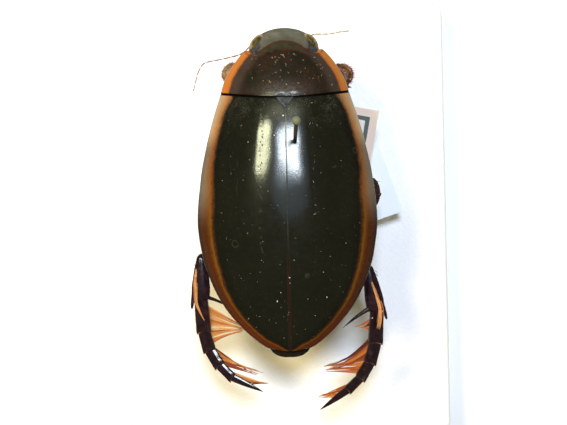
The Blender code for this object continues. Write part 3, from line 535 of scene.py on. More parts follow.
class Paint:
    """A material and short ways to add nodes to it. Lengths are millimetres."""
    def __init__(self, name, **fixed):
        self.material = bpy.data.materials.new(name)
        self.material.use_nodes = True
        self.tree = self.material.node_tree
        self.shader = self.tree.nodes["Principled BSDF"]
        for key, value in fixed.items():
            self.shader.inputs[key.replace("_", " ")].default_value = value
        coordinates = self.tree.nodes.new("ShaderNodeTexCoord")
        self.place = self.node("ShaderNodeVectorMath", {0: coordinates.outputs["Object"], "Scale": 1 / MM},
                               operation="SCALE").outputs[0]

    def node(self, kind, inputs, **settings):
        node = self.tree.nodes.new(kind)
        for key, value in settings.items():
            setattr(node, key, value)
        for key, value in inputs.items():
            if isinstance(value, bpy.types.NodeSocket):
                self.tree.links.new(value, node.inputs[key])
            else:
                node.inputs[key].default_value = value
        return node

    def value(self, name):
        return self.node("ShaderNodeAttribute", {}, attribute_name=name).outputs["Fac"]

    def stretched(self, scale):
        inputs = {0: self.place, 1: scale}
        return self.node("ShaderNodeVectorMath", inputs, operation="MULTIPLY").outputs[0]

    def noise(self, size, detail=2.0, roughness=0.5, place=None, distortion=0.0):
        """Cloudy values about 0.5, with features of the given size."""
        inputs = {"Vector": place or self.place, "Scale": 1 / size, "Detail": detail}
        inputs.update({"Roughness": roughness, "Distortion": distortion})
        return self.node("ShaderNodeTexNoise", inputs).outputs["Fac"]

    def cells(self, size):
        return self.node("ShaderNodeTexVoronoi", {"Vector": self.place, "Scale": 1 / size})

    def maths(self, operation, a, b=0.0, c=0.0):
        return self.node("ShaderNodeMath", {0: a, 1: b, 2: c}, operation=operation).outputs[0]

    def plus(self, a, b):
        return self.maths("ADD", a, b)

    def times(self, product, *others):
        for other in others:
            product = self.maths("MULTIPLY", product, other)
        return product

    def opposite(self, value):
        return self.maths("SUBTRACT", 1.0, value)

    def centred(self, value, reach):
        """A value from 0 to 1 brought about 0, to run over reach."""
        return self.maths("MULTIPLY_ADD", value, reach, -reach / 2)

    def step(self, value, low, high, start=0.0, end=1.0):
        """From start to end as value goes from low to high, smoothly."""
        inputs = {"Value": value, "From Min": low, "From Max": high, "To Min": start, "To Max": end}
        return self.node("ShaderNodeMapRange", inputs, interpolation_type="SMOOTHSTEP").outputs["Result"]

    def mix(self, share, a, b):
        """Colour a where share is 0 and b where it is 1."""
        a = (*a, 1.0) if isinstance(a, tuple) else a
        b = (*b, 1.0) if isinstance(b, tuple) else b
        return self.node("ShaderNodeMix", {0: share, 6: a, 7: b}, data_type="RGBA").outputs[2]

    def over(self, colour, share, strength, tint):
        """The colour with a tint over it, as strong as share times strength."""
        return self.mix(self.times(share, strength), colour, tint)

    def ramp(self, value, *stops):
        """Colours along a value, from pairs of a place and a colour."""
        node = self.node("ShaderNodeValToRGB", {"Fac": value})
        elements = node.color_ramp.elements
        while len(elements) < len(stops):
            elements.new(0.5)
        for element, (at, colour) in zip(elements, stops):
            element.position = at
            element.color = (*colour, 1.0)
        return node.outputs["Color"]

    def bump(self, height, depth, normal=None):
        """The normal of a surface whose height runs over depth as height goes from 0 to 1."""
        inputs = {"Height": height, "Strength": 1.0, "Distance": depth * MM}
        if normal is not None:
            inputs["Normal"] = normal
        return self.node("ShaderNodeBump", inputs).outputs["Normal"]

    def finish(self, **links):
        for key, socket in links.items():
            self.tree.links.new(socket, self.shader.inputs[key.replace("_", " ")])
        return self.material


def dust(paint, size, share, radius):
    """1 on small specks, of which share of the cells of some size hold one."""
    cells = paint.cells(size)
    colour = paint.node("ShaderNodeSeparateColor", {"Color": cells.outputs["Color"]})
    there = paint.step(colour.outputs["Red"], 1 - share, 1 - share + 0.02)
    width = paint.times(colour.outputs["Green"], radius)
    return paint.times(there, paint.maths("LESS_THAN", cells.outputs["Distance"], width))


def shell_normal(paint, grain, waviness=0.004):
    """Fine grain over slow waves."""
    slow = paint.bump(paint.noise(1.6, 3.0), waviness)
    return paint.bump(paint.noise(0.16, 4.0, 0.65), grain, slow)


def elytron_material():
    p = Paint("wing_case_horn", IOR=1.56, Coat_Roughness=0.08, Coat_IOR=1.56)
    band, along, seam = p.value("band"), p.value("along"), p.value("seam")
    streak = p.noise(0.35, 3.0, 0.6, p.stretched((3.0, 0.35, 3.0)))
    place = p.plus(p.plus(band, p.centred(streak, 0.16)), p.centred(p.noise(0.9, 4.0, 0.6), 0.22))
    place = p.times(place, 0.5)
    colour = p.mix(p.step(place, 0.5, 0.6), side_band(p, place, along), dark_back(p))
    dots = p.times(p.step(p.cells(0.22).outputs["Distance"], 0.42, 0.3), p.step(place, 0.36, 0.5))
    colour = p.over(colour, p.times(dots, p.step(place, 0.62, 0.5)), 0.75, (0.012, 0.009, 0.006))
    redness = p.times(p.step(seam, 0.24, 0.08), p.step(along, -14.0, -20.0))
    colour = p.over(colour, redness, 0.7, (0.022, 0.0085, 0.0065))
    pale = p.times(p.step(seam, 0.055, 0.02), p.step(along, -18.0, -12.0))
    pale = p.times(pale, p.step(p.noise(0.5, 3.0), 0.3, 0.6, 0.25, 0.6))
    colour = p.mix(pale, colour, (0.085, 0.10, 0.075))
    holes = p.cells(0.34).outputs["Distance"]
    punctures = p.times(p.step(holes, 0.3, 0.16), p.step(p.value("pits"), 0.35, 0.9))
    colour = p.over(colour, punctures, 0.5, (0.004, 0.004, 0.003))
    from_ring = p.maths("ABSOLUTE", p.maths("SUBTRACT", p.cells(3.4).outputs["Distance"], 0.11))
    rings = p.times(p.step(from_ring, 0.03, 0.008), p.step(p.noise(1.1, 1.0), 0.45, 0.62))
    colour = p.over(colour, rings, 0.16, (0.10, 0.10, 0.075))
    scratches = p.step(p.noise(0.13, 2.0, 0.5, p.stretched((1.0, 0.16, 1.0)), 1.5), 0.71, 0.76)
    colour = p.over(colour, scratches, 0.15, (0.12, 0.12, 0.09))
    specks = p.maths("MAXIMUM", dust(p, 1.3, 0.22, 0.05), p.times(dust(p, 0.75, 0.4, 0.10), 0.4))
    dusty = p.times(p.step(along, -4.6, -0.8), p.step(p.noise(0.10, 3.0, 0.6), 0.48, 0.66))
    dusty = p.times(dusty, p.step(p.noise(1.3, 3.0, 0.6), 0.42, 0.68), 0.6)
    haze = p.times(p.value("haze"), p.step(p.noise(0.14, 4.0, 0.65), 0.33, 0.62, 0.25, 1.0))
    dusty = p.maths("MAXIMUM", dusty, haze)
    colour = p.over(colour, dusty, 0.8, (0.125, 0.13, 0.098))
    shade = p.times(p.step(seam, 0.22, 0.10), p.step(seam, 0.05, 0.10), p.step(along, -4.5, -3.8))
    colour = p.over(colour, shade, 0.7, (0.020, 0.014, 0.022))
    colour = p.over(colour, specks, 0.7, (0.42, 0.40, 0.31))
    open_part = p.opposite(p.value("joint"))
    colour = p.mix(p.step(open_part, 0.18, 0.34), JOINT_COLOUR, colour)
    rough = p.step(p.noise(0.7, 4.0, 0.6), 0.3, 0.75, 0.24, 0.38)
    rough = p.plus(rough, p.times(p.maths("MAXIMUM", specks, dusty), 0.4))
    gloss = p.times(p.step(band, 0.7, 2.0, 0.3, 1.0), open_part)
    normal = p.bump(p.opposite(punctures), 0.010, shell_normal(p, 0.0046))
    return p.finish(Base_Color=colour, Roughness=rough, Normal=normal, Coat_Normal=normal,
                    Coat_Weight=p.times(gloss, p.maths("MULTIPLY_ADD", dusty, -0.6, 1.0)),
                    Specular_IOR_Level=p.times(gloss, 0.10))


def side_band(p, place, along):
    """Colours of the wing cases' side band: from the margin at place 0 to the dark back at 0.6."""
    # The pale outer edge of the front ramp is partly a painted reflection of the bright surroundings at
    # grazing angles.
    front = p.ramp(place, (0.0, (0.36, 0.29, 0.20)), (0.09, (0.46, 0.31, 0.19)),
                   (0.27, (0.40, 0.21, 0.085)), (0.40, (0.30, 0.125, 0.035)),
                   (0.50, (0.13, 0.055, 0.020)), (0.60, (0.010, 0.009, 0.005)))
    # The greyish outer edge of the middle ramp is a painted sheen.
    middle = p.ramp(place, (0.0, (0.10, 0.09, 0.075)), (0.07, (0.15, 0.125, 0.095)),
                    (0.18, (0.19, 0.13, 0.08)), (0.30, (0.20, 0.095, 0.034)),
                    (0.42, (0.18, 0.060, 0.012)), (0.50, (0.085, 0.028, 0.008)),
                    (0.60, (0.010, 0.008, 0.005)))
    rear = p.ramp(place, (0.0, (0.020, 0.015, 0.010)), (0.06, (0.035, 0.016, 0.009)),
                  (0.13, (0.062, 0.019, 0.007)), (0.28, (0.066, 0.016, 0.003)),
                  (0.36, (0.10, 0.032, 0.004)), (0.42, (0.17, 0.062, 0.008)),
                  (0.47, (0.070, 0.024, 0.004)), (0.57, (0.008, 0.006, 0.0035)))
    tail = p.ramp(place, (0.0, (0.022, 0.008, 0.005)), (0.08, (0.080, 0.015, 0.005)),
                  (0.22, (0.105, 0.022, 0.003)), (0.33, (0.075, 0.019, 0.003)),
                  (0.40, (0.15, 0.050, 0.007)), (0.46, (0.050, 0.015, 0.004)),
                  (0.57, (0.009, 0.006, 0.0035)))
    rear = p.mix(p.step(along, -21.0, -25.0), rear, tail)
    return p.mix(p.step(along, -14.5, -9.5), rear, p.mix(p.step(along, -6.0, -3.2), middle, front))


def dark_back(p):
    clouds = p.step(p.noise(3.2, 4.0, 0.55), 0.35, 0.65)
    dark = p.mix(clouds, (0.0042, 0.0052, 0.0034), (0.0062, 0.0066, 0.0042))
    return p.mix(p.step(p.noise(0.5, 3.0), 0.5, 0.72, 0.0, 0.5), dark, (0.0100, 0.0102, 0.0062))


def pronotum_material():
    p = Paint("pronotum_horn", IOR=1.56, Coat_Roughness=0.14, Coat_IOR=1.56)
    band, front = p.value("band"), p.value("front")
    place = p.times(p.plus(band, p.centred(p.noise(0.8, 4.0, 0.6), 0.24)), 0.5)
    orange = p.ramp(place, (0.0, (0.38, 0.17, 0.05)), (0.07, (0.47, 0.16, 0.026)),
                    (0.25, (0.52, 0.155, 0.014)), (0.42, (0.43, 0.12, 0.012)),
                    (0.5, (0.11, 0.045, 0.018)), (0.6, (0.050, 0.030, 0.020)))
    clouds = p.step(p.noise(1.9, 4.0, 0.6), 0.38, 0.66)
    middle = p.mix(clouds, (0.0085, 0.0070, 0.0042), (0.0185, 0.0085, 0.0055))
    middle = p.mix(p.step(p.noise(0.45, 3.0), 0.52, 0.7, 0.0, 0.6), middle, (0.026, 0.015, 0.009))
    # Painted sheen: a lighter grey-brown strip just inside the orange band stands in for the reflection on
    # the slope.
    sheen_strip = p.times(p.step(place, 1.35, 0.7), p.step(p.noise(1.3, 3.0), 0.2, 0.6, 0.55, 1.0))
    middle = p.over(middle, sheen_strip, 0.75, (0.060, 0.040, 0.029))
    colour = p.mix(p.step(place, 0.5, 0.6), orange, middle)
    edge_red = p.times(p.step(front, 0.30, 0.16), p.step(front, 0.02, 0.10),
                       p.step(p.noise(0.9), 0.36, 0.6))
    colour = p.over(colour, edge_red, 0.6, (0.085, 0.011, 0.007))
    scrape = p.noise(0.12, 3.0, 0.6, p.stretched((1.0, 0.55, 1.0)), 2.2)
    zone = p.times(p.value("dusty"), p.step(p.noise(0.9, 2.0), 0.36, 0.56))
    colour = p.over(colour, p.times(p.step(scrape, 0.62, 0.7), zone), 0.3, (0.24, 0.15, 0.07))
    haze = p.times(p.value("haze"), p.step(p.noise(0.2, 4.0, 0.65), 0.35, 0.65, 0.1, 0.5))
    colour = p.mix(haze, colour, (0.13, 0.12, 0.105))
    specks = p.maths("MAXIMUM", dust(p, 0.25, 0.4, 0.10), dust(p, 0.6, 0.4, 0.075))
    colour = p.over(colour, p.times(specks, zone), 0.6, (0.5, 0.42, 0.26))
    rough = p.plus(p.step(p.noise(0.6, 4.0), 0.3, 0.7, 0.3, 0.45), p.times(specks, 0.3))
    open_part = p.opposite(p.value("joint"))
    colour = p.mix(p.step(open_part, 0.18, 0.34), JOINT_COLOUR, colour)
    gloss = p.times(p.step(band, 0.7, 2.0, 0.3, 1.0), open_part)
    normal = p.bump(scrape, 0.004, shell_normal(p, 0.0022, 0.006))
    return p.finish(Base_Color=colour, Roughness=rough, Normal=normal, Coat_Normal=normal,
                    Coat_Weight=p.times(gloss, 0.6), Specular_IOR_Level=p.times(gloss, 0.3))


def head_material():
    p = Paint("head_horn", Specular_IOR_Level=0.5, IOR=1.5)
    behind, aside = p.value("behind"), p.value("aside")
    grain = p.noise(0.22, 4.0, 0.6)
    # The grey in front of the border is partly a painted sheen, darker towards the border; behind it the
    # red-brown and olive are partly painted dark reflection where the head tilts back.
    grey = p.mix(p.step(p.noise(1.0, 3.0), 0.3, 0.7), (0.088, 0.088, 0.062), (0.135, 0.130, 0.098))
    grey = p.mix(p.step(behind, -0.75, -0.1, 0.0, 0.55), grey, (0.050, 0.046, 0.032))
    corner = p.mix(p.step(p.noise(0.35, 3.0), 0.4, 0.6), (0.007, 0.008, 0.012), (0.048, 0.046, 0.046))
    grey = p.mix(p.step(aside, 2.3, 2.8, 0.0, 0.85), grey, corner)
    wander = p.plus(behind, p.centred(p.noise(0.6, 3.0), 0.30))
    red = p.mix(p.step(p.noise(0.5, 3.0), 0.35, 0.65), (0.050, 0.016, 0.009), (0.038, 0.022, 0.010))
    olive = p.mix(p.step(p.noise(0.7, 3.0), 0.35, 0.65), (0.018, 0.020, 0.008), (0.034, 0.030, 0.014))
    red = p.mix(p.step(wander, 0.25, 0.45), red, olive)
    colour = p.mix(p.step(wander, -0.06, 0.06), grey, red)
    colour = p.mix(p.step(grain, 0.55, 0.75, 0.0, 0.35), colour, (0.02, 0.018, 0.012))
    colour = p.over(colour, dust(p, 0.5, 0.25, 0.1), 0.7, (0.4, 0.36, 0.16))
    rough = p.step(p.noise(0.5, 3.0), 0.3, 0.7, 0.34, 0.46)
    normal = p.bump(grain, 0.006, p.bump(p.noise(1.4, 2.0), 0.012))
    return p.finish(Base_Color=colour, Roughness=rough, Normal=normal)


def scutellum_material():
    p = Paint("scutellum_horn", Specular_IOR_Level=0.4, IOR=1.5)
    clouds, edge = p.noise(0.4, 4.0), p.value("edge")
    # The blue-grey of the lighter clouds is partly a painted sheen.
    colour = p.mix(p.step(clouds, 0.35, 0.65), (0.016, 0.017, 0.017), (0.034, 0.038, 0.045))
    colour = p.mix(p.step(edge, 0.12, 0.05, 0.0, 0.8), colour, (0.006, 0.005, 0.004))
    inner = p.times(p.step(edge, 0.10, 0.14), p.step(edge, 0.24, 0.18),
                    p.step(p.noise(0.5), 0.4, 0.65, 0.0, 0.4))
    colour = p.mix(inner, colour, (0.12, 0.12, 0.10))
    rough = p.step(clouds, 0.3, 0.7, 0.24, 0.4)
    return p.finish(Base_Color=colour, Roughness=rough, Normal=shell_normal(p, 0.002, 0.004))


def eye_material():
    p = Paint("eye_horn", Specular_IOR_Level=0.35, IOR=1.5)
    rim = p.plus(p.value("rim"), p.centred(p.noise(0.35, 3.0, 0.6), 0.9))
    clouds = p.noise(0.5, 4.0, 0.6)
    tan_colour = p.mix(p.step(clouds, 0.35, 0.65), (0.22, 0.15, 0.075), (0.36, 0.27, 0.17))
    olive = p.mix(p.step(p.noise(0.2, 3.0, 0.6), 0.42, 0.6), (0.085, 0.066, 0.006), (0.030, 0.022, 0.005))
    colour = p.mix(p.step(rim, 0.75, 1.35), olive, tan_colour)
    normal = p.bump(p.cells(0.055).outputs["Distance"], -0.012)
    return p.finish(Base_Color=colour, Roughness=p.step(clouds, 0.3, 0.7, 0.4, 0.55), Normal=normal)


def dark_horn_material(name, dark, light, rough=(0.16, 0.3), size=0.9):
    """Polished red-black horn, cloudy, with fine pits and some dust."""
    p = Paint(name, Specular_IOR_Level=0.5, IOR=1.5)
    colour = p.mix(p.step(p.noise(size, 4.0, 0.6), 0.32, 0.68), dark, light)
    pitted = p.step(p.cells(0.2).outputs["Distance"], 0.28, 0.12)
    colour = p.over(colour, pitted, 0.4, tuple(c * 0.4 for c in dark))
    colour = p.over(colour, dust(p, 0.7, 0.2, 0.07), 0.7, (0.4, 0.36, 0.28))
    roughness = p.step(p.noise(0.5, 4.0), 0.3, 0.7, *rough)
    normal = p.bump(p.opposite(pitted), 0.006, shell_normal(p, 0.002, 0.008))
    return p.finish(Base_Color=colour, Roughness=roughness, Normal=normal)


def foot_material():
    """Purple-black horn of the hind feet, with pale orange membrane at the end of each joint."""
    p = Paint("foot_horn", Specular_IOR_Level=0.55, IOR=1.5)
    ring = p.value("ring")
    clouds = p.step(p.noise(0.7, 4.0, 0.6), 0.35, 0.65)
    colour = p.mix(clouds, (0.008, 0.004, 0.0065), (0.021, 0.0085, 0.013))
    ragged = p.plus(ring, p.centred(p.noise(0.18, 3.0), 0.7))
    sheen = p.mix(p.step(p.noise(0.8), 0.45, 0.55), (0.045, 0.042, 0.056), (0.055, 0.018, 0.012))
    colour = p.mix(p.step(p.noise(1.1, 4.0, 0.6), 0.56, 0.7, 0.0, 0.5), colour, sheen)
    colour = p.mix(p.step(ragged, 0.55, 0.8), colour, (0.30, 0.15, 0.07))
    colour = p.mix(p.step(ring, 1.3, 1.6), colour, (0.62, 0.58, 0.50))
    colour = p.over(colour, dust(p, 0.5, 0.15, 0.08), 0.7, (0.45, 0.36, 0.28))
    rough = p.step(p.noise(0.4, 3.0), 0.3, 0.7, 0.10, 0.16)
    return p.finish(Base_Color=colour, Roughness=rough, Normal=shell_normal(p, 0.0012, 0.004))


def amber_material(name, dark, light):
    p = Paint(name, Specular_IOR_Level=0.5, IOR=1.5, Subsurface_Weight=0.15, Subsurface_Scale=0.0003)
    colour = p.mix(p.step(p.noise(0.5, 4.0, 0.6), 0.35, 0.65), dark, light)
    colour = p.mix(p.step(p.value("ring"), 0.5, 0.8), colour, (0.62, 0.46, 0.26))
    rough = p.step(p.noise(0.3, 3.0), 0.3, 0.7, 0.25, 0.42)
    return p.finish(Base_Color=colour, Roughness=rough, Normal=shell_normal(p, 0.003, 0.008))


def hair_material():
    """Dried swimming hair, from pale gold to dark red by each hair's tint."""
    p = Paint("swimming_hair", Specular_IOR_Level=0.5, IOR=1.5)
    base = p.ramp(p.value("tint"), (0.0, (0.85, 0.53, 0.21)), (0.3, (0.72, 0.29, 0.045)),
                  (0.5, (0.56, 0.15, 0.020)), (0.72, (0.34, 0.060, 0.016)), (1.0, (0.10, 0.018, 0.008)))
    colour = p.mix(p.step(p.value("share"), 0.7, 1.0, 0.0, 0.2), base, (0.7, 0.45, 0.24))
    streak = p.noise(0.25, 3.0, 0.6)
    colour = p.mix(p.step(streak, 0.5, 0.75, 0.0, 0.35), colour, (0.30, 0.09, 0.03))
    translucent = p.node("ShaderNodeBsdfTranslucent", {"Color": colour})
    mixed = p.node("ShaderNodeMixShader", {0: 0.35, 1: p.shader.outputs[0], 2: translucent.outputs[0]})
    p.tree.links.new(mixed.outputs[0], p.tree.nodes["Material Output"].inputs["Surface"])
    return p.finish(Base_Color=colour, Roughness=p.step(streak, 0.3, 0.7, 0.35, 0.5))


def pin_material():
    """Steel wire with a pale knob, its lower part painted near black as shade."""
    p = Paint("pin_metal")
    knob = p.value("knob")
    drawn = p.noise(0.08, 3.0, 0.5, p.stretched((1.0, 1.0, 0.05)))
    steel = p.mix(drawn, (0.10, 0.10, 0.095), (0.20, 0.20, 0.19))
    # Painted shade: from about 3 to 4 mm above its entry into the wing case downwards, the steel is near
    # black.
    steel = p.mix(p.step(p.value("high"), 4.2, 2.6), steel, (0.006, 0.006, 0.006))
    colour = p.mix(knob, steel, (0.15, 0.16, 0.092))
    rough = p.plus(p.step(p.noise(0.3, 3.0), 0.3, 0.7, 0.28, 0.42), p.times(knob, 0.2))
    metal = p.maths("SUBTRACT", 0.2, p.times(knob, 0.1))
    return p.finish(Base_Color=colour, Roughness=rough, Metallic=metal, Normal=p.bump(drawn, 0.004))


def card_material(name, paper, edge_tint, frame_width):
    """A data card with only a plain printed frame line."""
    p = Paint(name, Specular_IOR_Level=0.3, IOR=1.45)
    border = p.value("border")
    fibres = p.noise(0.12, 5.0, 0.7)
    colour = p.mix(p.step(p.noise(2.6, 4.0, 0.6), 0.4, 0.7), paper, tuple(c * 0.95 for c in paper))
    colour = p.mix(p.step(border, 2.3, 0.2), colour, edge_tint)
    if frame_width:
        from_frame = p.maths("ABSOLUTE", p.maths("SUBTRACT", border, 1.15))
        line = p.step(p.plus(from_frame, p.centred(fibres, 0.1)), frame_width, frame_width - 0.06)
        colour = p.mix(line, colour, (0.11, 0.13, 0.115))
    rough = p.step(fibres, 0.3, 0.7, 0.75, 0.92)
    return p.finish(Base_Color=colour, Roughness=rough, Normal=p.bump(fibres, 0.012))


def foam_material():
    """White closed-cell foam, with small cells and a few dents."""
    p = Paint("base_foam", Specular_IOR_Level=0.2, IOR=1.4)
    cells = p.cells(0.35).outputs["Distance"]
    clouds = p.noise(6.0, 3.0)
    colour = p.mix(p.step(clouds, 0.35, 0.65), (0.94, 0.94, 0.935), (0.97, 0.97, 0.965))
    colour = p.mix(p.step(cells, 0.3, 0.75, 0.0, 0.08), colour, (0.7, 0.7, 0.69))
    normal = p.bump(cells, -0.03, p.bump(p.noise(0.9, 4.0), 0.02))
    return p.finish(Base_Color=colour, Roughness=p.step(clouds, 0.3, 0.7, 0.8, 0.95), Normal=normal)


def speck_material():
    p = Paint("dust", Specular_IOR_Level=0.3)
    colour = p.mix(p.value("tint"), (0.72, 0.70, 0.60), (0.62, 0.42, 0.17))
    colour = p.mix(p.step(p.noise(0.1, 3.0), 0.4, 0.7, 0.0, 0.4), colour, (0.4, 0.3, 0.2))
    return p.finish(Base_Color=colour, Roughness=p.step(p.noise(0.2), 0.3, 0.7, 0.6, 0.9))


def joint_shade(away, t):
    """How dark the joint between pronotum and wing cases makes them: strongest towards the sides."""
    return bump_at(away, 0.0, 0.2) * between(0.85, 1.0, smooth_step(0.38, 0.5, np.abs(t)))


def make_elytra(material):
    angles = np.radians(np.linspace(0, 90, 76))
    skirt = np.array([0.08, 0.3, 0.65, 0.92, 1.0])
    t = np.concatenate([[0, 0.002, 0.005, 0.009], np.sin(angles[1:]), np.ones(len(skirt))])
    drop = np.concatenate([np.zeros(len(angles) + 3), skirt])
    share = np.concatenate([np.linspace(0, 0.02, 13), np.linspace(0.02, 1, 185)[1:]])[:, None]
    front, rear = pronotum_hind_edge(t) - JOINT / 2, ELYTRA_TIP_V + TIP_ROUNDING * t**2
    for side, sign in SIDES:
        v = between(front, rear, share)
        width = profile(OUTLINE, v)
        edge, seam = width * (1 - t), width * t
        from_front = front - v
        outer = outer_back(t, v, drop)
        rim = bump_at(edge, 0.1, 0.1) * 0.05 - bump_at(edge, 0.42, 0.17) * 0.045
        band = soft_minimum(edge / profile(BAND_WIDTH, v), (v - rear) / 0.55)
        band = band + 0.9 * bump_at(seam, 0.0, 0.85) * smooth_step(-26.2, -27.2, v)
        relief = rim * (1 - drop) - 0.06 * np.exp(-from_front / 0.07) - 0.012 * np.exp(-seam / 0.03)
        for row in PIT_ROWS:
            relief = relief - 0.010 * bump_at((t - row) * width, 0.0, 0.22) * smooth_step(-27.0, -23.0, v)
        relief = relief + 0.010 * waves(sign * outer[..., 0], v, 5.0, 11) * smooth_step(0, 1.5, edge)
        if side == "right":
            from_pin = np.hypot(outer[..., 0] - PIN_ENTRY[0], v - PIN_ENTRY[1])
            relief = relief - 0.03 * bump_at(from_pin, 0.0, 0.15)
        outer[..., 2] += relief
        inner = inner_back(t, v, drop)
        for sheet in (outer, inner):
            reach = sheet[..., 0]
            sheet[..., 0] = sign * (SUTURE / 2 + reach * (1 - SUTURE / 2 / reach[:, -1:]))
        x = sign * outer[..., 0]
        haze = spot_at(x, v, (-1.9, -2.3), (1.5, 1.7)) + 0.8 * spot_at(x, v, (0.8, -1.9), (0.9, 1.0))
        pits = sum(bump_at((t - row) * width, 0.0, 0.3) for row in PIT_ROWS)
        shape = Shape()
        closed_pair(shape, outer, inner, band=band, along=v, seam=seam, pits=pits, haze=haze,
                    joint=joint_shade(from_front, t))
        make(f"wing_case_{side}", shape, material, [f"elytron_{side}"])


def make_pronotum(material):
    angles = np.radians(np.linspace(-90, 90, 121))
    skirt = np.array([1.0, 0.92, 0.65, 0.3, 0.08])
    t = np.concatenate([-np.ones(5), np.sin(angles), np.ones(5)])
    drop = np.concatenate([skirt, np.zeros(len(angles)), skirt[::-1]])
    share = np.concatenate([
        np.linspace(0, 0.14, 20), np.linspace(0.14, 1, 60)[1:-4], np.linspace(0.95, 1, 12),
    ])
    share = np.unique(share)[:, None]
    rear, front = pronotum_hind_edge(t) + JOINT / 2, pronotum_front_edge(t)
    v = between(rear, front, share)
    width = profile(OUTLINE, v)
    edge = width * (1 - np.abs(t))
    outer = outer_back(t, v, drop)
    from_rear, from_front = v - rear, front - v
    rim = bump_at(edge, 0.1, 0.1) * 0.05 - bump_at(edge, 0.42, 0.17) * 0.05
    relief = rim * (1 - drop) - 0.05 * np.exp(-from_rear / 0.07) - 0.14 * np.exp(-from_front / 0.10)
    relief = relief - 0.035 * bump_at(from_front, 0.55, 0.2) * (0.6 + 0.4 * waves(outer[..., 0], v, 1.1, 3))
    groove = (0.075 + 0.035 * waves(outer[..., 0], v, 1.5, 4)) * smooth_step(0.42, 0.1, np.abs(t))
    relief = relief - groove * smooth_step(0.68, 0.04, from_rear)
    relief = relief - 0.05 * bump_at(outer[..., 0], 0.0, 0.16) * bump_at(v, 2.6, 1.4)
    relief = relief + 0.015 * waves(outer[..., 0], v, 2.6, 5) * smooth_step(0, 1.2, edge)
    outer[..., 2] += relief
    inner = inner_back(t, v, drop)
    x = outer[..., 0]
    rear_zone = spot_at(x, v, (-0.2, 0.4), (2.4, 0.9))
    side_zones = spot_at(x, v, (-2.9, 2.9), (1.7, 0.9)) + spot_at(x, v, (2.6, 1.9), (1.2, 1.5))
    dusty = side_zones + 0.8 * spot_at(x, v, (-0.3, 4.2), (3.2, 0.5)) + 0.9 * rear_zone
    shape = Shape()
    closed_pair(shape, outer, inner, band=edge / profile(PRONOTUM_BAND_WIDTH, v), front=from_front,
                joint=joint_shade(from_rear, t), dusty=np.minimum(dusty, 1.0), haze=rear_zone)
    make("pronotum_plate", shape, material, ["pronotum"])


def make_scutellum(material):
    share = np.linspace(0, 1, 22)[:, None]
    across = np.linspace(-1, 1, 25)
    v = between(HIND_EDGE_V - JOINT / 2, SCUTELLUM_TIP_V, share**0.9)
    half = SCUTELLUM_HALF_WIDTH * (1 - share**0.9) + 0.02
    arch = back_arch(half * across / profile(OUTLINE, v))
    surface = profile(BACK_HEIGHT, v) * arch + profile(MARGIN_RISE, v)
    edge = half * (1 - np.abs(across))
    relief = 0.02 - 0.05 * np.exp(-edge / 0.05) + 0.01 * (1 - across**2)
    upper = point_grid(half * across, v, surface + relief)
    lower = point_grid(half * across, v, surface - 0.3)
    shape = Shape()
    closed_pair(shape, upper, lower, edge=edge)
    make("scutellum_plate", shape, material, ["scutellum"])


def eye_axes(x, v, side):
    """Distances from an eye's middle along its length and across it, in plan."""
    dx, dv = (x - side * EYE_CENTRE[0]) * side, v - EYE_CENTRE[1]
    cos, sin = math.cos(EYE_TURN), math.sin(EYE_TURN)
    return dx * cos - dv * sin, dx * sin + dv * cos


def make_head(head_paint, horn_paint, eye_paint):
    def shape_head(points):
        x, v, z = points.T.copy()
        z = z - HEAD_SLOPE * (v - HEAD_CENTRE[1])
        top = smooth_step(-0.5, 1.0, z)
        for side in (-1, 1):
            pit = np.hypot((x - side * 1.55) / 0.5, (v - 6.75) / 0.28)
            z = z - 0.09 * np.exp(-pit**2) * top
            long_way, short_way = eye_axes(x, v, side)
            ridge = np.abs(np.hypot(long_way / EYE_RADII[0], short_way / EYE_RADII[1]) - 1.2)
            z = z + 0.07 * bump_at(ridge, 0.0, 0.16) * top
        front = smooth_step(6.9, 7.75, v)
        z = z - 0.12 * front * top + 0.012 * waves(x, v, 1.4, 21)
        return np.stack([x, v, z], axis=-1)

    shape = Shape()
    points = ball(shape, HEAD_CENTRE, HEAD_RADII, 150, 90, shape_head)
    x, v = points[:, 0], points[:, 1]
    border = 6.1 - 0.17 * np.abs(x) ** 1.9
    shape.values["behind"] = [(0, border - v)]
    shape.values["aside"] = [(0, np.abs(x))]
    make("head_capsule", shape, head_paint, ["head"])
    for side, sign in SIDES:
        eye = Shape()
        centre = (sign * EYE_CENTRE[0], EYE_CENTRE[1], EYE_CENTRE[2])

        def turn(points):
            x, v, z = (points - centre).T
            cos, sin = math.cos(EYE_TURN), math.sin(EYE_TURN) * -sign
            return np.stack([x * cos - v * sin, x * sin + v * cos, z], axis=-1) + centre

        points = ball(eye, centre, EYE_RADII, 64, 40, turn)
        long_way, short_way = eye_axes(points[:, 0], points[:, 1], sign)
        eye.values["rim"] = [(0, np.hypot(long_way / 0.72, (short_way - 0.02) / 0.30))]
        make(f"compound_eye_{side}", eye, eye_paint, [f"eye_{side}"])
    make_mouthparts(horn_paint)


def flat_plate(shape, points, low, high, rise):
    """A thin rounded plate with a smooth plan outline through some points, its middle raised by rise."""
    outline = rounded_outline(points)
    centre = outline.mean(0)
    grows = (1.0, 0.982, 0.94, 0.6, 0.2)
    shares = (0.5, 0.85, 1.0, 1.0 + rise, 1.0 + rise * 1.4)
    rings = [centre + (outline - centre) * grow for grow in grows]
    heights = [between(low, high, share) for share in shares]
    upper = [point_grid(*ring.T, height) for ring, height in zip(rings, heights)]
    lower = [point_grid(*ring.T, low + high - height) for ring, height in zip(rings[1:], heights[1:])]
    grid = np.array(lower[::-1] + upper)
    shape.add(grid, loft_faces(*grid.shape[:2]))


